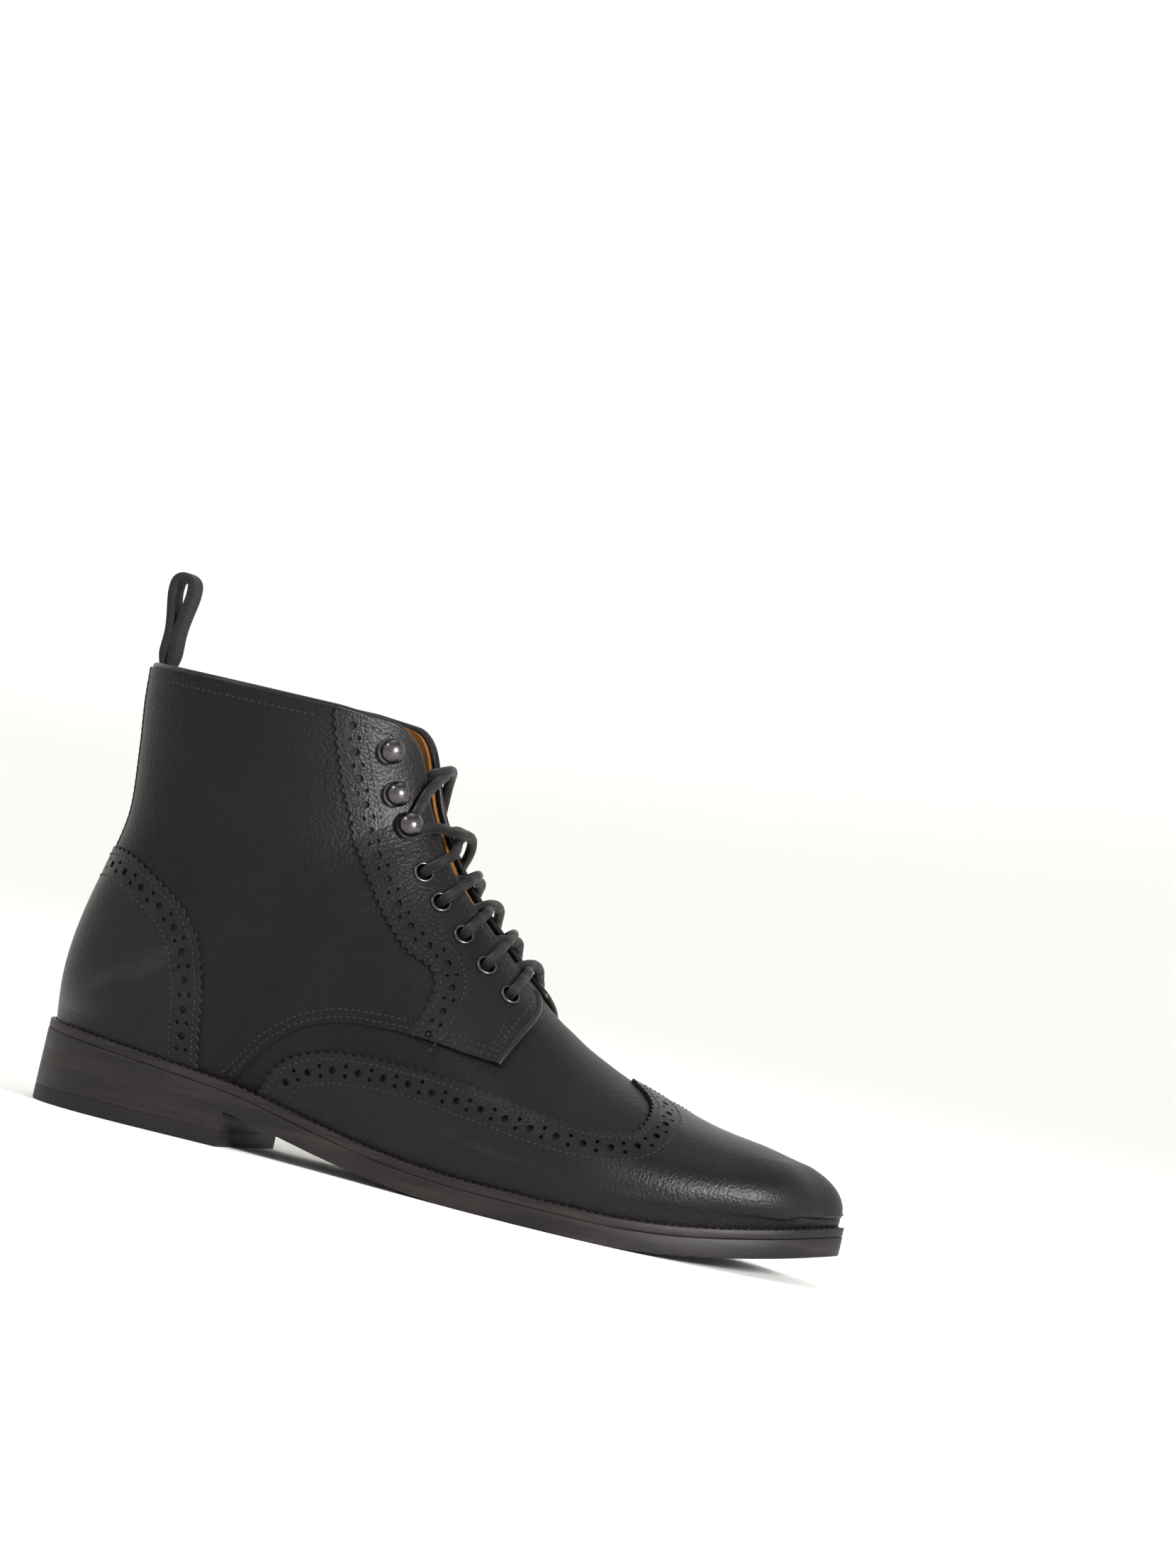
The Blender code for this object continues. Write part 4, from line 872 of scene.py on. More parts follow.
def lay_panel(name, outlines, low, high, step, material, replaces=(), holes=None, rounding=0.0):
    """A leather panel between two heights above the skin, over one or both sides."""
    shape = bmesh.new()
    for side, outline in outlines.items():
        half_panel(shape, side, outline, high, step, (holes or {}).get(side, ()))
    bmesh.ops.remove_doubles(shape, verts=shape.verts, dist=0.02 * MM)
    bmesh.ops.dissolve_degenerate(shape, edges=shape.edges, dist=0.005 * MM)
    loose = [v for v in shape.verts if not v.link_faces]
    bmesh.ops.delete(shape, geom=loose, context="VERTS")
    piece = place_piece(name, shape, material, replaces, 50)
    wall = piece.modifiers.new("Wall", "SOLIDIFY")
    wall.thickness = high - low
    wall.offset = -1
    if rounding:
        rim = piece.modifiers.new("Rounded cut edges", "BEVEL")
        rim.width = rounding
        rim.segments = 2
        rim.limit_method = "ANGLE"
        rim.angle_limit = math.radians(55)
    return piece


def stitch_row(shape, side, line, height):
    """Adds a row of stitches along a line: each is a short rounded thread, a little sunk at its ends."""
    sizes = bpy.context.scene.boot_sizes
    length, width = sizes.stitch_length, sizes.thread
    line = even_line(side, line, sizes.stitch_pitch)
    middle = (line[1:] + line[:-1]) / 2
    points = SKIN.at(side, middle, height)
    run = SKIN.at(side, line[1:], height) - SKIN.at(side, line[:-1], height)
    normals = SKIN.look_up(side, middle)[1]
    for point, along, normal in zip(points, run, normals):
        along = along / np.linalg.norm(along)
        across = np.cross(normal, along)
        matrix = Matrix(np.column_stack([along * length / 2, across * width, normal * width * 0.8]).tolist()).to_4x4()
        matrix.translation = Vector(point)
        bmesh.ops.create_icosphere(shape, subdivisions=1, radius=1.0, matrix=matrix)


def tube(name, points, radius, material, replaces=(), roundness=4, ride=True):
    """A cord or bead along points, as a mesh with its own UV map: turns round, and metres along."""
    curve = bpy.data.curves.new(name, "CURVE")
    curve.dimensions = "3D"
    curve.bevel_depth = radius
    curve.bevel_resolution = roundness
    curve.use_fill_caps = True
    lines = points if isinstance(points, list) else [points]
    for line in lines:
        spline = curve.splines.new("POLY")
        spline.points.add(len(line) - 1)
        for place, point in zip(spline.points, line):
            place.co = (*point, 1)
    guide = bpy.data.objects.new(name, curve)
    bpy.context.scene.collection.objects.link(guide)
    mesh = bpy.data.meshes.new_from_object(guide.evaluated_get(bpy.context.evaluated_depsgraph_get()))
    bpy.data.objects.remove(guide, do_unlink=True)
    shape = bmesh.new()
    shape.from_mesh(mesh)
    layer = shape.loops.layers.uv.active
    long = chord_knots(np.asarray(lines[0]))[-1]
    for face in shape.faces:
        for loop in face.loops:
            loop[layer].uv.y *= long
    bmesh.ops.remove_doubles(shape, verts=shape.verts, dist=0.001 * MM)
    shape.to_mesh(mesh)
    shape.free()
    return place_mesh(name, mesh, material, replaces, 60)


def smooth_route(points, step):
    points = np.array(points)
    knots = chord_knots(points)
    count = max(int(round(knots[-1] / step)), 3)
    return Spline(knots, points).at(np.linspace(0, knots[-1], count + 1))


# Lines on the upper that several pieces share


def edge_lines(side):
    """The named lines of one side, in the chart."""
    mouth = smooth_line(MOUTH)
    tab = smooth_line(TAB)
    return {
        "mouth": mouth,
        "tab": tab,
        "facing_foot": smooth_line(FACING_FOOT),
        "facing_back": smooth_line(FACING_BACK),
        "quarter_foot": smooth_line(QUARTER_FOOT),
        "counter": smooth_line(COUNTER_EDGE),
        "wing": smooth_line(WING_EDGE),
    }


LINES = {side: edge_lines(side) for side in (LATERAL, MEDIAL)}
QUARTER_TOP = 1.0 * MM
OVERLAY_TOP = 2.0 * MM
WING_TOP = 1.4 * MM


def corner(*marks):
    return np.array(marks, float)



def hole_ring(side, centre, radius, corners=10):
    """A punched hole's outline in the chart, round on the skin."""
    by_rib, by_depth, normal = SKIN.frames(side, centre[None])
    first = by_rib[0] / np.linalg.norm(by_rib[0])
    second = np.cross(normal[0], first)
    angles = np.linspace(0, math.tau, corners, endpoint=False)
    moves = (np.cos(angles)[:, None] * first + np.sin(angles)[:, None] * second) * radius
    return shifted(side, np.repeat(centre[None], corners, 0), moves)


def inward(side, line, outline):
    """Which way along across_of leads from a panel's edge into the panel: 1 or -1."""
    middle = even_line(side, line, 4 * MM)
    probe = shifted(side, middle, across_of(side, middle) * 3 * MM)[len(middle) // 2]
    return 1 if inside_of(to_flat(probe)[None], to_flat(outline))[0] else -1


def off_ends(line):
    """The line without what runs past the ridge or the back seam."""
    return line[(line[:, 1] > 0.012) & (line[:, 1] < 1.985)]


def panel_outlines(side):
    """The outline of each leather panel on one side, in the chart. Pinked edges come in here."""
    lines, sizes = LINES[side], bpy.context.scene.boot_sizes
    ridge = corner((-1, 0), (6.25, 0))
    tip = corner((-1, 2), (-1, 0))
    collar = corner((LAST_RIB, MOUTH[-1][1]), (LAST_RIB, 2))

    def pinked(name):
        return gimped(side, lines[name], sizes.tooth_pitch, sizes.tooth_depth)

    fine, coarse = 0.8 * MM, 1.7 * MM
    mouth = trim(lines["mouth"], coarse)
    return {
        "upper": join_lines(
            trim(ridge, coarse), mouth, trim(collar, coarse), trim(corner((LAST_RIB, 2), (-1, 2)), coarse),
            trim(tip, coarse),
        ),
        "quarter": join_lines(
            trim(lines["quarter_foot"], fine), trim(corner((9.67, 2), (LAST_RIB, 2)), coarse),
            trim(collar[::-1], coarse), mouth[::-1], trim(lines["tab"], fine),
        ),
        "facing": join_lines(
            mouth, trim(corner((LAST_RIB, MOUTH[-1][1]), FACING_BACK[-1]), coarse), pinked("facing_back")[::-1],
            trim(lines["facing_foot"][::-1], fine), trim(lines["tab"][::-1], fine),
        ),
        "counter": join_lines(
            pinked("counter"), trim(corner(COUNTER_EDGE[-1], COUNTER_EDGE[0]), coarse)
        ),
        "wing_cap": join_lines(
            pinked("wing"), trim(corner(WING_EDGE[-1], (-1, 0)), coarse), trim(tip[::-1], coarse),
            trim(corner((-1, 2), WING_EDGE[0]), coarse),
        ),
    }


def eyelet_rings(side):
    radius = bpy.context.scene.boot_sizes.eyelet_hole + 0.5 * MM
    return [hole_ring(side, np.array(mark), radius, 16) for mark in EYELETS]


def punched(side, line, way):
    """The punched holes of a brogued band, as outlines in the chart."""
    sizes = bpy.context.scene.boot_sizes
    middle = off_ends(even_line(side, beside(side, line, way * sizes.hole_row), sizes.hole_pitch / 2))
    across = across_of(side, middle)
    rings = []
    for i in range(1, len(middle) - 1):
        here, out = middle[i : i + 1], across[i : i + 1]
        if i % 2:
            rings.append(hole_ring(side, here[0], sizes.large_hole, 12))
        else:
            for move in (-sizes.pair_spread, sizes.pair_spread):
                rings.append(hole_ring(side, shifted(side, here, out * move)[0], sizes.small_hole, 8))
    return rings


# Sizes and colours


def size(name, millimetres, what):
    return bpy.props.FloatProperty(
        name=name, description=what, default=millimetres * MM, min=0.0, subtype="DISTANCE", unit="LENGTH"
    )


def shade(name, colour, what):
    return bpy.props.FloatVectorProperty(
        name=name, description=what, default=linear(colour), min=0.0, max=1.0, size=4, subtype="COLOR"
    )


class BootSizes(bpy.types.PropertyGroup):
    """Sizes of the boot's trimming"""

    tooth_pitch: size("Tooth pitch", 3.4, "Length of one tooth of a pinked edge")
    tooth_depth: size("Tooth depth", 1.3, "Depth of a pinked edge's teeth")
    hole_row: size("Hole row", 6.3, "From a pinked edge to the middle of its brogue holes")
    hole_pitch: size("Hole pitch", 9.7, "From one large hole to the next")
    large_hole: size("Large hole", 1.3, "Radius of the large brogue holes")
    small_hole: size("Small hole", 0.75, "Radius of the small brogue holes")
    pair_spread: size("Pair spread", 1.7, "From the row to each small hole of a pair")
    first_row: size("First stitch row", 2.35, "From a pinked edge to its first stitch row")
    second_row: size("Second stitch row", 10.8, "From a pinked edge to its second stitch row")
    stitch_pitch: size("Stitch pitch", 2.4, "From one stitch to the next")
    stitch_length: size("Stitch length", 1.8, "Length of one stitch on the leather")
    thread: size("Thread", 0.4, "Radius of the sewing thread")
    bead: size("Bead", 1.4, "Radius of the rolled edge binding")
    lace: size("Lace", 1.9, "Radius of the round lace")
    eyelet_hole: size("Eyelet hole", 2.6, "Radius of an eyelet's hole")
    eyelet: size("Eyelet", 3.95, "Radius of an eyelet's ring")
    ball: size("Hook ball", 4.55, "Radius of a hook's ball")


class BootFinishes(bpy.types.PropertyGroup):
    """Colours of the boot's leathers, metal and cords"""

    leather: shade("Leather", "#080607", "Calf leather of the vamp and quarters")
    leather_worn: shade("Worn leather", "#0e0b0c", "The same leather where it is rubbed")
    overlay: shade("Overlay", "#080607", "Calf leather of the brogued overlays")
    lining: shade("Lining", "#7c5223", "Tan lining leather")
    lining_dark: shade("Dark lining", "#65411a", "Tan lining leather in its darker patches")
    sole: shade("Sole edge", "#0c0909", "Stained edge of the sole and heel")
    sole_streak: shade("Sole streaks", "#261f1e", "Lighter fibres of the stained edge")
    thread: shade("Thread", "#1d1819", "Sewing thread")
    lace: shade("Lace", "#0c0a0a", "Waxed lace and pull tape")
    # Painted highlight: the lighter colour on the crowns of the lace's braid stands in for light falling on them
    lace_crown_highlight: shade("Lace crowns", "#2e2829", "Rubbed crowns of the lace's braid")
    metal: shade("Metal", "#4e4b4e", "Dark nickel plating")


# Laces


def strand(side, start, end, outside, over_other):
    """A lace from inside its eyelet over the flap's bead and across the throat, then under the other flap,
    or on to the other side's hook."""
    (rib, depth), (far_rib, far_depth) = start, end
    span = far_rib - rib
    lift = 1.7 * MM if over_other else -1.7 * MM
    marks = [
        (rib, depth * 1.02, -4.2 * MM),
        (rib, depth, -0.6 * MM),
        (rib, depth * 0.96, 2.6 * MM),
        (rib, depth * 0.84, 4.2 * MM),
        (rib + 0.01 * span, depth * 0.68, 3.9 * MM),
        (rib + 0.04 * span, depth * 0.46, 4.1 * MM),
    ]
    if outside:
        marks += [
            (rib + 0.25 * span, 0.05, 4.6 * MM + lift),
            (rib + 0.46 * span, -far_depth * 0.32, 4.3 * MM),
            (rib + 0.68 * span, -far_depth * 0.62, 4.0 * MM),
        ]
    else:
        marks += [
            (rib + 0.09 * span, 0.09, 3.9 * MM + lift * 0.4),
            (rib + 0.16 * span, 0.02, 2.7 * MM + lift),
            (rib + 0.25 * span, -0.06, 1.3 * MM + lift),
            (rib + 0.34 * span, -0.12, -1.2 * MM + lift * 0.3),
            (rib + 0.46 * span, -0.17, -4.2 * MM),
            (rib + 0.62 * span, -0.24, -4.9 * MM),
        ]
    chart = np.array(marks)
    points = list(SKIN.at(side, chart[:, :2], chart[:, 2]))
    if outside:
        points += round_hook(-side, HOOKS[0], points[-1], 3.4 * MM)
    return smooth_route(points, 1.0 * MM)


def round_hook(side, hook, coming, height):
    """A lace's turn round a hook, from the side that faces a point."""
    point, normal = SKIN.look_up(side, np.array([hook]))
    centre = point[0] + normal[0] * height
    axis = Vector(normal[0])
    away = Vector(coming - centre)
    away = (away - axis * away.dot(axis)).normalized()
    rise = Vector((0, 0, 1))
    turn = -1 if axis.cross(away).dot(rise) > 0 else 1
    reach = HOOK_RADIUS - 0.9 * MM
    turns = [math.radians(angle) * turn for angle in (60, 100, 140, 180, 220, 260)]
    return [centre + np.array(Matrix.Rotation(angle, 3, axis) @ away) * reach for angle in turns]


def lace_end(side):
    """A lace's end: from the lowest hook up across the throat, under the other end and down inside."""
    rib, depth = HOOKS[0]
    over = 4.2 * MM
    if side == LATERAL:
        marks = np.array([
            (rib + 0.60, depth * 0.84, over),
            (rib + 1.25, depth * 0.66, over),
            (rib + 1.75, depth * 0.44, over),
            (rib + 2.00, 0.08, 3.6 * MM),
            (rib + 2.12, -0.02, 1.8 * MM),
            (rib + 2.10, -0.11, -0.6 * MM),
            (rib + 1.90, -0.17, -3.8 * MM),
            (rib + 1.20, -0.20, -4.8 * MM),
            (rib + 0.40, -0.20, -5.0 * MM),
        ])
    else:
        marks = np.array([
            (rib + 0.60, depth * 0.84, over),
            (rib + 1.40, depth * 0.66, over),
            (rib + 2.05, depth * 0.44, over),
            (rib + 2.40, 0.08, 4.6 * MM),
            (rib + 2.45, -0.02, 4.4 * MM),
            (rib + 2.35, -0.10, 2.4 * MM),
            (rib + 2.10, -0.16, -2.6 * MM),
            (rib + 1.40, -0.20, -4.6 * MM),
            (rib + 0.60, -0.20, -5.0 * MM),
        ])
    points = list(SKIN.at(side, marks[:, :2], marks[:, 2]))
    centre, normal = SKIN.look_up(side, np.array([HOOKS[0]]))
    centre = centre[0] + normal[0] * over
    away = points[0] - centre
    points.insert(0, centre + away / np.linalg.norm(away) * (HOOK_RADIUS + GAP))
    return smooth_route(points, 1.0 * MM)


# Stage

AZIMUTH, ELEVATION, ROLL = 12.0, 1.91, 13.04
AIM = Vector((94 * MM, 0, 75 * MM))
AIM_PIXEL = (608.0, 1378.7)
PHOTO_SIZE = (1659, 2212)
PHOTO_LENS = 8663.0
DISTANCE = 2.2
SENSOR = 36.0


def aim_camera():
    """The photo's own view: a long lens, turned so that the boot's foot rises to the left."""
    turn, rise, roll = (math.radians(angle) for angle in (AZIMUTH, ELEVATION, ROLL))
    back = Vector((math.sin(turn) * math.cos(rise), -math.cos(turn) * math.cos(rise), math.sin(rise)))
    level = (-back).cross(Vector((0, 0, 1))).normalized()
    up = level.cross(-back)
    right = level * math.cos(roll) + up * math.sin(roll)
    top = up * math.cos(roll) - level * math.sin(roll)
    middle = [(side - 1) / 2 for side in PHOTO_SIZE]
    aside = (AIM_PIXEL[0] - middle[0]) / PHOTO_LENS, -(AIM_PIXEL[1] - middle[1]) / PHOTO_LENS
    swing = Vector((0, 0, 1)).rotation_difference(Vector((*aside, 1)).normalized()).to_matrix()
    rows = swing @ Matrix((right, top, -back))
    camera = bpy.data.objects.new("camera", bpy.data.cameras.new("camera"))
    camera.data.sensor_width = SENSOR
    camera.data.lens = PHOTO_LENS / PHOTO_SIZE[1] * SENSOR
    camera.data.clip_start, camera.data.clip_end = 0.05, 50
    camera.matrix_world = Matrix((rows[0], rows[1], -rows[2])).transposed().to_4x4()
    camera.matrix_world.translation = AIM + back * DISTANCE
    bpy.context.scene.collection.objects.link(camera)
    bpy.context.scene.camera = camera


def soft_light(name, place, across, power, aim=AIM):
    lamp = bpy.data.lights.new(name, "AREA")
    lamp.shape = "DISK"
    lamp.size = across
    lamp.energy = power
    light = bpy.data.objects.new(name, lamp)
    light.location = place
    light.rotation_euler = (Vector(place) - aim).to_track_quat("Z", "Y").to_euler()
    light.visible_camera = False
    bpy.context.scene.collection.objects.link(light)


class BOOT_OT_set_stage(bpy.types.Operator):
    """Sets the camera, the soft lights and a pale floor that curves up all round"""

    bl_idname = "boot.set_stage"
    bl_label = "Camera, lights and floor"

    def execute(self, context):
        aim_camera()
        shape = bmesh.new()
        profile = [(0, 0), (0.5, 0), (1.4, 0)]
        profile += [
            (2.3 + 2.6 * math.sin(math.radians(angle)), 2.6 - 2.6 * math.cos(math.radians(angle)))
            for angle in range(0, 91, 5)
        ]
        profile += [(4.9, 5.0)]
        turned(shape, profile, 96)
        bmesh.ops.reverse_faces(shape, faces=[f for f in shape.faces if f.normal.z < -0.01])
        mesh = bpy.data.meshes.new("floor")
        shape.to_mesh(mesh)
        shape.free()
        mesh.shade_smooth()
        floor = bpy.data.objects.new("floor", mesh)
        paper, _, _ = new_material("matt_background_paper", Base_Color=linear("#f4f3f1"), Roughness=0.9)
        mesh.materials.append(paper)
        context.scene.collection.objects.link(floor)
        world = bpy.data.worlds.new("studio")
        world.use_nodes = True
        world.node_tree.nodes["Background"].inputs["Color"].default_value = grey(1.0)
        world.node_tree.nodes["Background"].inputs["Strength"].default_value = 0.5
        context.scene.world = world
        context.scene.view_settings.view_transform = "Standard"
        soft_light("key", (1.7, -1.35, 0.75), 0.42, 80)
        soft_light("side", (-1.0, -1.3, 1.7), 0.35, 16)
        soft_light("top", (0.0, 0.1, 2.3), 1.5, 10)
        for turn in range(4):
            angle = math.radians(30 + 90 * turn)
            place = Vector((1.3 * math.cos(angle), 1.3 * math.sin(angle), 1.5))
            soft_light(f"backdrop_{turn + 1}", place, 1.0, 95, aim=place * 3)
        return {"FINISHED"}


def turned(shape, profile, steps=36):
    """Adds a turned shape about the Z axis: its profile of radii and heights, spun full circle."""
    made = [shape.verts.new((radius, 0, height)) for radius, height in profile]
    edges = [shape.edges.new(pair) for pair in zip(made, made[1:])]
    bmesh.ops.spin(
        shape, geom=made + edges, axis=(0, 0, 1), cent=(0, 0, 0), angle=math.tau, steps=steps, use_merge=True
    )
    bmesh.ops.remove_doubles(shape, verts=shape.verts, dist=0.002 * MM)
    bmesh.ops.recalc_face_normals(shape, faces=shape.faces)


class BOOT_OT_lay_laces(bpy.types.Operator):
    """Lays the laces: five crossings of two strands, and the two free ends"""

    bl_idname = "boot.lay_laces"
    bl_label = "Laces"

    def execute(self, context):
        sizes = context.scene.boot_sizes
        for side, word in SIDES:
            route = lace_end(side)
            end = tube(
                f"lace_tail_{word}", route, sizes.lace, "lace", (f"lace_end_{word}",)
            )
        steps = list(EYELETS) + [HOOKS[0]]
        for i, (start, end) in enumerate(zip(steps, steps[1:])):
            outside = i == len(EYELETS) - 1
            lines = [strand(side, start, end, outside, (side == MEDIAL) == (i % 2 == 0)) for side, _ in SIDES]
            tube(
                f"lace_strands_{i + 1}", lines, sizes.lace, "lace", (f"lace_crossing_{i + 1}",)
            )
        return {"FINISHED"}


class BOOT_OT_cut_upper(bpy.types.Operator):
    """Cuts the vamp and shaft leather with its tan lining, open at the collar, throat and foot"""

    bl_idname = "boot.cut_upper"
    bl_label = "Upper and lining"

    def execute(self, context):
        outlines = {side: panel_outlines(side)["upper"] for side, _ in SIDES}
        rings = {side: eyelet_rings(side) for side, _ in SIDES}
        lay_panel("vamp_and_shaft", outlines, -1.1 * MM, 0.0, 1.7 * MM, "vamp", ("upper",), rings)
        lay_panel("lining", outlines, -WALL, -1.15 * MM, 2.2 * MM, "lining", ("upper",), rings)
        return {"FINISHED"}


class BOOT_OT_lay_overlays(bpy.types.Operator):
    """Lays the quarters and the brogued facings, counter, wing cap and back strip over the upper"""

    bl_idname = "boot.lay_overlays"
    bl_label = "Quarters and brogued overlays"

    def execute(self, context):
        outlines = {side: panel_outlines(side) for side, _ in SIDES}
        rings = {side: eyelet_rings(side) for side, _ in SIDES}
        both = {side: outlines[side]["quarter"] for side, _ in SIDES}
        lay_panel(
            "quarters", both, 0.02 * MM, QUARTER_TOP, 1.8 * MM, "vamp", (), rings, 0.25 * MM
        )
        for name, line, low, high, replaced in (
            ("wing_cap", "wing", 0.05 * MM, WING_TOP, ("wing_cap",)),
            ("counter", "counter", QUARTER_TOP, OVERLAY_TOP, ("counter",)),
        ):
            both = {side: outlines[side][name] for side, _ in SIDES}
            holes = {
                side: punched(side, LINES[side][line], inward(side, LINES[side][line], both[side]))
                for side, _ in SIDES
            }
            lay_panel(
                f"brogued_{name}", both, low, high, 1.7 * MM, "band", replaced, holes, 0.3 * MM
            )
        for side, word in SIDES:
            one, back = outlines[side]["facing"], LINES[side]["facing_back"]
            holes = punched(side, back, inward(side, back, one)) + rings[side]
            lay_panel(
                f"brogued_facing_{word}", {side: one}, QUARTER_TOP, OVERLAY_TOP, 1.7 * MM, "band",
                (f"facing_{word}",), {side: holes}, 0.3 * MM,
            )
        strip = {side: back_strip_outline(side) for side, _ in SIDES}
        lay_panel(
            "back_seam_strip", strip, QUARTER_TOP, QUARTER_TOP + 0.75 * MM, 1.5 * MM, "band",
            ("back_strip",),
        )
        return {"FINISHED"}


def back_strip_edge(side):
    seam = corner(*[(rib, 2) for rib in np.linspace(15.3, LAST_RIB, 20)])
    inside = across_of(side, seam)
    probe = shifted(side, seam, inside * BACK_STRIP_WIDTH / 2)
    if probe[:, 1].mean() > 1.999:
        probe = shifted(side, seam, -inside * BACK_STRIP_WIDTH / 2)
    return np.clip(probe, (15.25, 0), (LAST_RIB, 2))


def back_strip_outline(side):
    edge = back_strip_edge(side)
    seam = corner((LAST_RIB, 2), (15.3, 2))
    return join_lines(trim(edge, MM), trim(corner(edge[-1], seam[0]), MM), trim(seam, MM), trim(corner(seam[-1], edge[0]), MM))


class BOOT_OT_roll_binding(bpy.types.Operator):
    """Rolls the bead along the tabs, the throat and the collar"""

    bl_idname = "boot.roll_binding"
    bl_label = "Edge binding"

    def execute(self, context):
        radius = context.scene.boot_sizes.bead
        half = [(*mark, 0.9 * MM) for mark in smooth_line(TAB, 24)[::-1]]
        half += [(*mark, 0.2 * MM) for mark in smooth_line(MOUTH, 60)[3:-2]]
        half += [(LAST_RIB, depth, -0.7 * MM) for depth in np.linspace(0.62, 1.9, 26)]
        half = np.array(half)
        route = []
        for side, _ in SIDES:
            edge = SKIN.at(side, half[:, :2], half[:, 2])
            run = (edge[np.minimum(np.arange(len(edge)) + 1, len(edge) - 1)] - edge[np.maximum(np.arange(len(edge)) - 1, 0)])
            run = run * (1, 0, 1)
            outward = np.stack([run[:, 2], run[:, 1] * 0, -run[:, 0]], axis=1)
            outward /= np.linalg.norm(outward, axis=1)[:, None]
            route.append(edge + outward * 0.5 * MM)
        back = SKIN.at(LATERAL, [(LAST_RIB, 2)], -0.7 * MM) + (0, 0, 0.5 * MM)
        knots = np.concatenate([route[0], back, route[1][::-1]])
        points = smooth_route(even_points(knots, 3 * MM), 1.0 * MM)
        tube("rolled_edge", points, radius, "bead", ("collar_binding",), 6)
        return {"FINISHED"}


def even_points(line, step):
    travel = chord_knots(line)
    where = np.linspace(0, travel[-1], max(int(travel[-1] / step), 2) + 1)
    return np.stack([np.interp(where, travel, line[:, k]) for k in range(3)], axis=1)


class BOOT_OT_set_tongue(bpy.types.Operator):
    """Sets the tongue behind the throat"""

    bl_idname = "boot.set_tongue"
    bl_label = "Tongue"

    def execute(self, context):
        rows, columns = 66, 33
        rib_list, sinks, reaches = (list(column) for column in zip(*TONGUE))
        table = Spline(rib_list, np.stack([sinks, reaches], axis=1))
        shape = bmesh.new()
        bmesh.ops.create_grid(shape, x_segments=rows - 1, y_segments=columns - 1, size=1)
        for vert in shape.verts:
            number = rib_list[0] + (rib_list[-1] - rib_list[0]) * (vert.co.x + 1) / 2
            sink, reach = table.at(number)
            end = min(1.0, (rib_list[-1] - number) / 0.9 + 0.62)
            depth = vert.co.y * reach * end
            side = LATERAL if depth < 0 else MEDIAL
            vert.co = Rib(side, number).points([abs(depth)], TONGUE_PULL, sink)[0]
        bmesh.ops.recalc_face_normals(shape, faces=shape.faces)
        front = [face for face in shape.faces if face.normal.x + face.normal.z > 0]
        if len(front) < len(shape.faces) / 2:
            bmesh.ops.reverse_faces(shape, faces=shape.faces)
        piece = place_piece("tongue_leather", shape, "vamp", ("tongue",), 50)
        wall = piece.modifiers.new("Wall", "SOLIDIFY")
        wall.thickness = TONGUE_THICK
        wall.offset = -1
        return {"FINISHED"}


class BOOT_OT_hang_pull_loop(bpy.types.Operator):
    """Hangs the woven pull loop at the back of the collar"""

    bl_idname = "boot.hang_pull_loop"
    bl_label = "Pull loop"

    def execute(self, context):
        rim = SKIN.at(LATERAL, [(LAST_RIB, depth) for depth in np.linspace(1.5, 2, 51)])
        beside_rim = min(rim, key=lambda point: abs(abs(point[1]) - LOOP_WIDTH / 2))
        seat = beside_rim[0] + WALL + 0.5 * MM
        middle = seat + WEBBING + LOOP_LEAN
        neck = BOOT_HEIGHT + 2.6 * MM
        centre = BOOT_HEIGHT + LOOP_HEIGHT - LOOP_SPREAD / 2
        tail = BOOT_HEIGHT - LOOP_TAIL
        foot = seat + seam_x(tail) - seam_x(BOOT_HEIGHT)
        wide = LOOP_SPREAD / 2 - LOOP_TAPE / 2
        close = LOOP_NECK / 4
        slit = BOOT_HEIGHT + LOOP_HEIGHT * 0.36
        line = [
            (foot, tail), (seat, BOOT_HEIGHT), (middle - close, neck + 1 * MM), (middle - close, slit),
            (middle - wide * 0.8, centre - 8 * MM),
        ]
        line += [
            (middle - wide * math.cos(a), centre + wide * math.sin(a))
            for a in [math.radians(angle) for angle in range(0, 181, 30)]
        ]
        line += [
            (middle + wide * 0.8, centre - 8 * MM), (middle + close, slit), (middle + close, neck + 1 * MM),
            (seat + WEBBING, BOOT_HEIGHT), (foot + WEBBING, tail),
        ]
        route = smooth_route([(x, 0, z) for x, z in line], 1.0 * MM)
        run = run_of(route)
        out = np.stack([-run[:, 2], run[:, 1], run[:, 0]], axis=1)
        shape = bmesh.new()
        rows = []
        for point, way in zip(route, out):
            grown = min(1, max(0, (point[2] - BOOT_HEIGHT) / (6 * MM)))
            half = (WEBBING + (LOOP_TAPE - WEBBING) * grown) * 0.47
            edge = LOOP_WIDTH / 2
            section = [
                (-edge, -0.5), (-edge * 0.94, -1), (0, -1.04), (edge * 0.94, -1), (edge, -0.5), (edge, 0.5),
                (edge * 0.94, 1), (0, 1.04), (-edge * 0.94, 1), (-edge, 0.5),
            ]
            rows.append([
                shape.verts.new((point[0] + way[0] * half * t, y, point[2] + way[2] * half * t)) for y, t in section
            ])
        for low, high in zip(rows, rows[1:]):
            for i in range(len(low)):
                j = (i + 1) % len(low)
                shape.faces.new((low[i], low[j], high[j], high[i]))
        for cap in (rows[0], rows[-1]):
            shape.faces.new(cap)
        bmesh.ops.recalc_face_normals(shape, faces=shape.faces)
        place_piece("pull_tape", shape, "tape", ("pull_loop",), 50)
        return {"FINISHED"}


def on_skin(shape, side, mark, height):
    """Moves a shape made about the Z axis to stand on the skin at a mark."""
    point, normal = SKIN.look_up(side, np.array([mark]))
    axis = Vector(normal[0])
    matrix = axis.to_track_quat("Z", "Y").to_matrix().to_4x4()
    matrix.translation = Vector(point[0] + normal[0] * height)
    bmesh.ops.transform(shape, matrix=matrix, verts=shape.verts)


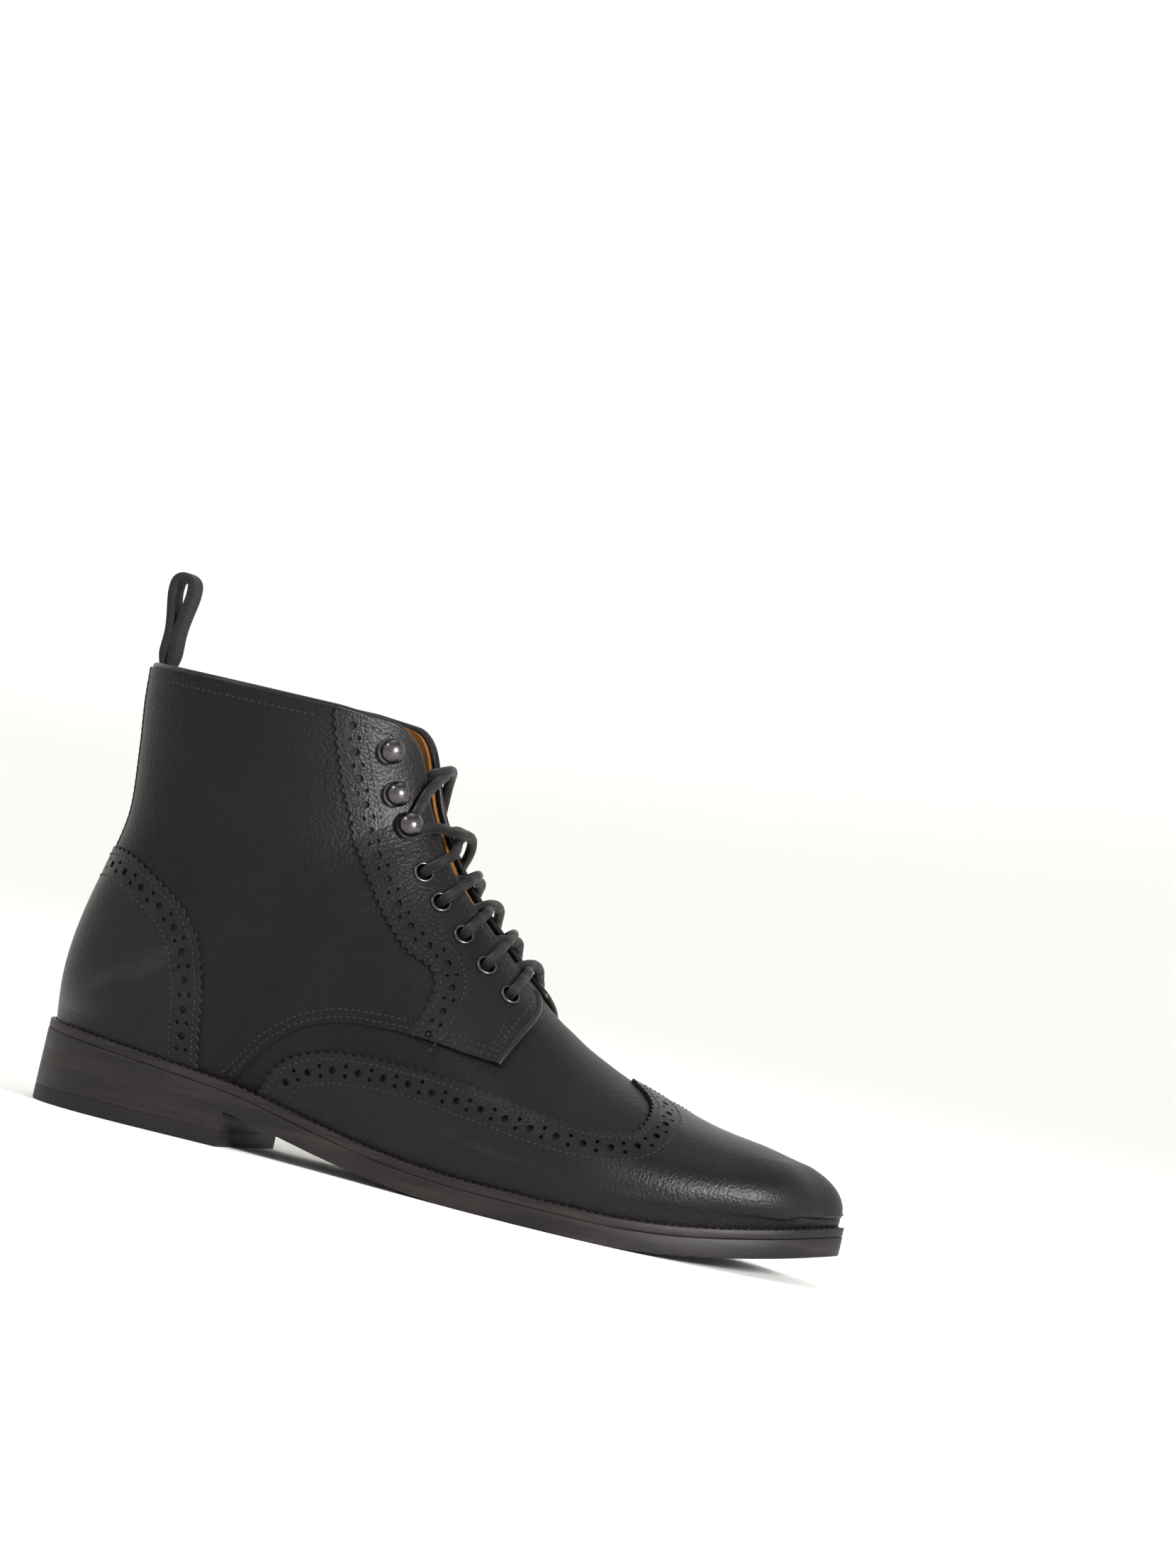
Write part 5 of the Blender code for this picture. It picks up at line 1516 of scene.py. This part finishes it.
class BOOT_OT_set_eyelets(bpy.types.Operator):
    """Sets the eyelets and the ball hooks in both facings"""

    bl_idname = "boot.set_eyelets"
    bl_label = "Eyelets and hooks"

    def execute(self, context):
        sizes = context.scene.boot_sizes
        hole, outer = sizes.eyelet_hole, sizes.eyelet
        middle, half = (hole + outer) / 2, (outer - hole) / 2
        ring = [(hole, -4.0 * MM), (hole, 0.0)]
        ring += [
            (middle - half * math.cos(a), 0.95 * MM * math.sin(a))
            for a in [math.radians(angle) for angle in range(15, 181, 15)]
        ]
        ring += [(outer, -0.5 * MM), (hole + 0.4 * MM, -0.5 * MM), (hole + 0.4 * MM, -4.0 * MM)]
        middle, flat = 3.3 * MM, 0.72
        ball = [
            (sizes.ball * math.cos(a), middle + flat * sizes.ball * math.sin(a))
            for a in [math.radians(angle) for angle in range(-50, 90, 10)]
        ]
        hook = [(0, -0.3 * MM), (4.5 * MM, -0.3 * MM), (4.6 * MM, 0.1 * MM), (4.2 * MM, 0.4 * MM)]
        hook += [(3.0 * MM, 0.5 * MM), (1.6 * MM, 0.5 * MM)] + ball + [(0, middle + flat * sizes.ball)]
        for side, word in SIDES:
            for i, mark in enumerate(EYELETS):
                shape = bmesh.new()
                turned(shape, ring + ring[:1])
                on_skin(shape, side, mark, OVERLAY_TOP)
                place_piece(f"ring_{word}_{i + 1}", shape, "metal", (f"eyelet_{word}_{i + 1}",), 50)
            for i, mark in enumerate(HOOKS):
                shape = bmesh.new()
                turned(shape, hook)
                on_skin(shape, side, mark, OVERLAY_TOP)
                place_piece(f"ball_{word}_{i + 1}", shape, "metal", (f"hook_{word}_{i + 1}",), 45)
        return {"FINISHED"}


def warped(shape, thick, low, high):
    """Bends a flat plate of a given thickness to run between two heights that follow x."""
    for vert in shape.verts:
        share = vert.co.z / thick
        x = vert.co.x
        vert.co.z = float(low(x)) * (1 - share) + float(high(x)) * share


def sole_plate(name, loop, low, high, thick, edges, material, replaces, cut=None):
    """A layer of the bottom: the outline as a face, extruded, its rims bevelled, sliced and bent."""
    shape = bmesh.new()
    face = shape.faces.new([shape.verts.new((x, y, 0)) for x, y in loop])
    if cut:
        place, direction = cut
        bmesh.ops.bisect_plane(
            shape, geom=list(shape.verts) + list(shape.edges) + list(shape.faces), plane_co=place,
            plane_no=direction, clear_outer=True,
        )
        face = shape.faces[:][0]
    made = bmesh.ops.extrude_face_region(shape, geom=[face])
    top = [item for item in made["geom"] if isinstance(item, bmesh.types.BMVert)]
    bmesh.ops.translate(shape, vec=(0, 0, thick), verts=top)
    rims = [
        edge for edge in shape.edges
        if abs(edge.verts[0].co.z - edge.verts[1].co.z) < 1e-7
    ]
    bmesh.ops.bevel(
        shape, geom=rims, offset=edges, offset_type="OFFSET", segments=3, profile=0.5, affect="EDGES", material=-1
    )
    bmesh.ops.recalc_face_normals(shape, faces=shape.faces)
    for x in np.arange(HEEL_BACK + 3 * MM, HEEL_BACK + LENGTH, 4 * MM):
        bmesh.ops.bisect_plane(
            shape, geom=list(shape.verts) + list(shape.edges) + list(shape.faces), plane_co=(x, 0, 0),
            plane_no=(1, 0, 0),
        )
    warped(shape, thick, low, high)
    bmesh.ops.triangulate(shape, faces=[f for f in shape.faces if len(f.verts) > 4])
    return place_piece(name, shape, material, replaces, 45)


class BOOT_OT_build_bottom(bpy.types.Operator):
    """Builds the outsole, welt, stacked heel, rubber top lift and insole"""

    bl_idname = "boot.build_bottom"
    bl_label = "Sole, welt and heel"

    def execute(self, context):
        loop = OUTLINE[::3]
        sides = sides_of(OUTLINE)
        breast = [
            along_side(sides[side], share_at(sides[side], HEEL_BACK + TREAD_LENGTH + slant))
            for side, slant in ((LATERAL, 0), (MEDIAL, BREAST_SLANT))
        ]
        run = breast[1] - breast[0]
        cut = ((*breast[0], 0), (run[1], -run[0], 0))
        sole_plate(
            "leather_outsole", loop, under, lambda x: under(x) + OUTSOLE_THICK, OUTSOLE_THICK, 0.45 * MM, "stack",
            ("outsole",),
        )
        sole_plate(
            "leather_heel", loop, lambda x: TOP_LIFT_THICK, lambda x: under(x) + 0.4 * MM, 11 * MM,
            0.1 * MM, "stack", ("heel_stack",), cut,
        )
        sole_plate(
            "rubber_top_lift", loop, lambda x: 0.0, lambda x: TOP_LIFT_THICK, TOP_LIFT_THICK, 0.3 * MM, "rubber",
            ("heel_top_lift",), cut,
        )
        inner = inset(OUTLINE, LEDGE + WALL + 0.8 * MM)[::3]
        sole_plate(
            "lined_insole", inner, lambda x: sole_top(x) + 0.2 * MM, lambda x: sole_top(x) + INSOLE_THICK,
            INSOLE_THICK, 0.3 * MM, "lining", ("insole",),
        )
        shape = bmesh.new()
        rings = []
        for line in (inset(OUTLINE, 0.15 * MM)[::3], inset(OUTLINE, 11 * MM)[::3]):
            verts = [shape.verts.new((x, y, 0)) for x, y in line]
            rings.append([shape.edges.new((a, b)) for a, b in zip(verts, verts[1:] + verts[:1])])
        bmesh.ops.bridge_loops(shape, edges=rings[0] + rings[1])
        made = bmesh.ops.extrude_face_region(shape, geom=list(shape.faces))
        top = [item for item in made["geom"] if isinstance(item, bmesh.types.BMVert)]
        bmesh.ops.translate(shape, vec=(0, 0, WELT_THICK), verts=top)
        rims = [e for e in shape.edges if e.calc_face_angle(0) > 1 and abs(e.verts[0].co.z - e.verts[1].co.z) < 1e-7]
        bmesh.ops.bevel(
            shape, geom=rims, offset=0.4 * MM, offset_type="OFFSET", segments=2, profile=0.5, affect="EDGES",
            material=-1,
        )
        bmesh.ops.recalc_face_normals(shape, faces=shape.faces)
        warped(
            shape, WELT_THICK, lambda x: under(x) + OUTSOLE_THICK, lambda x: sole_top(x),
        )
        place_piece("sewn_welt", shape, "stack", ("welt",), 45)
        return {"FINISHED"}


class BOOT_OT_sew(bpy.types.Operator):
    """Sews every seam: rows of single stitches on the panels and the welt"""

    bl_idname = "boot.sew"
    bl_label = "Stitching"

    def execute(self, context):
        sizes = context.scene.boot_sizes
        shape = bmesh.new()
        for side, _ in SIDES:
            lines, outlines = LINES[side], panel_outlines(side)
            for panel, name, height in (
                ("wing_cap", "wing", WING_TOP), ("facing", "facing_back", OVERLAY_TOP),
                ("counter", "counter", OVERLAY_TOP),
            ):
                way = inward(side, lines[name], outlines[panel])
                for row in (sizes.first_row, sizes.second_row):
                    stitch_row(shape, side, off_ends(beside(side, lines[name], way * row)), height)
            way = inward(side, lines["quarter_foot"], outlines["quarter"])
            for row in (2.0 * MM, 4.6 * MM):
                line = off_ends(beside(side, lines["quarter_foot"], way * row))
                on_facing = line[:, 0] < 7.6
                stitch_row(shape, side, line[~on_facing], QUARTER_TOP)
                stitch_row(shape, side, line[on_facing], OVERLAY_TOP)
            way = inward(side, lines["mouth"], outlines["facing"])
            stitch_row(shape, side, off_ends(beside(side, lines["mouth"], way * 3.4 * MM)), OVERLAY_TOP)
            stitch_row(shape, side, off_ends(beside(side, lines["mouth"], way * 3.4 * MM)), -WALL - 0.1 * MM)
            way = inward(side, lines["tab"], outlines["facing"])
            stitch_row(shape, side, beside(side, lines["tab"][30:], way * 3.4 * MM), OVERLAY_TOP)
            collar = corner(*[(LAST_RIB, depth) for depth in np.linspace(0.72, 1.88, 40)])
            probe = shifted(side, collar, across_of(side, collar) * 4 * MM)
            way = 1 if probe[:, 0].mean() < LAST_RIB - 0.1 else -1
            stitch_row(shape, side, beside(side, collar, way * 4.0 * MM), QUARTER_TOP)
            edge = back_strip_edge(side)
            way = 1 if beside(side, edge, 1.3 * MM)[:, 1].mean() > edge[:, 1].mean() else -1
            stitch_row(shape, side, beside(side, edge, way * 1.3 * MM), QUARTER_TOP + 0.75 * MM)
            for row in (0, 1):
                tack = corner((6.02 + 0.19 * row, 0.44), (5.98 + 0.19 * row, 0.60))
                stitch_row(shape, side, tack, OVERLAY_TOP)
        place_piece("seam_stitches", shape, "thread", (), 180)
        shape = bmesh.new()
        loop = inset(OUTLINE, 1.9 * MM)
        points = even_points(np.array([(x, y, sole_top(x) + 0.05 * MM) for x, y in np.vstack([loop, loop[:1]])]), 3 * MM)
        for a, b in zip(points, points[1:]):
            along = (b - a) / np.linalg.norm(b - a)
            across = np.cross((0, 0, 1), along)
            size = np.column_stack([along * 1.15 * MM, across * 0.42 * MM, np.cross(along, across) * 0.35 * MM])
            matrix = Matrix(size.tolist()).to_4x4()
            matrix.translation = Vector((a + b) / 2)
            bmesh.ops.create_icosphere(shape, subdivisions=1, radius=1.0, matrix=matrix)
        place_piece("welt_stitches", shape, "thread", (), 180)
        return {"FINISHED"}


class BOOT_PT_panel(bpy.types.Panel):
    """The boot's steps, in order"""

    bl_idname = "BOOT_PT_panel"
    bl_label = "Boot"
    bl_space_type = "VIEW_3D"
    bl_region_type = "UI"
    bl_category = "Boot"

    def draw(self, context):
        for step in STEPS:
            self.layout.operator(step.bl_idname)
        for group in (context.scene.boot_sizes, context.scene.boot_finishes):
            for name in group.__annotations__:
                self.layout.prop(group, name)


STEPS = (
    BOOT_OT_set_stage, BOOT_OT_lay_laces, BOOT_OT_cut_upper, BOOT_OT_lay_overlays, BOOT_OT_roll_binding,
    BOOT_OT_set_tongue, BOOT_OT_hang_pull_loop, BOOT_OT_set_eyelets, BOOT_OT_build_bottom, BOOT_OT_sew,
)
CLASSES = (BootSizes, BootFinishes, *STEPS, BOOT_PT_panel)


def register():
    for cls in CLASSES:
        bpy.utils.register_class(cls)
    bpy.types.Scene.boot_sizes = bpy.props.PointerProperty(type=BootSizes)
    bpy.types.Scene.boot_finishes = bpy.props.PointerProperty(type=BootFinishes)


def unregister():
    del bpy.types.Scene.boot_finishes
    del bpy.types.Scene.boot_sizes
    for cls in reversed(CLASSES):
        bpy.utils.unregister_class(cls)


def main():
    register()
    bpy.ops.boot.set_stage()
    bpy.ops.boot.lay_laces()
    bpy.ops.boot.cut_upper()
    bpy.ops.boot.lay_overlays()
    bpy.ops.boot.roll_binding()
    bpy.ops.boot.set_tongue()
    bpy.ops.boot.hang_pull_loop()
    bpy.ops.boot.set_eyelets()
    bpy.ops.boot.build_bottom()
    bpy.ops.boot.sew()


if __name__ == "__main__":
    main()
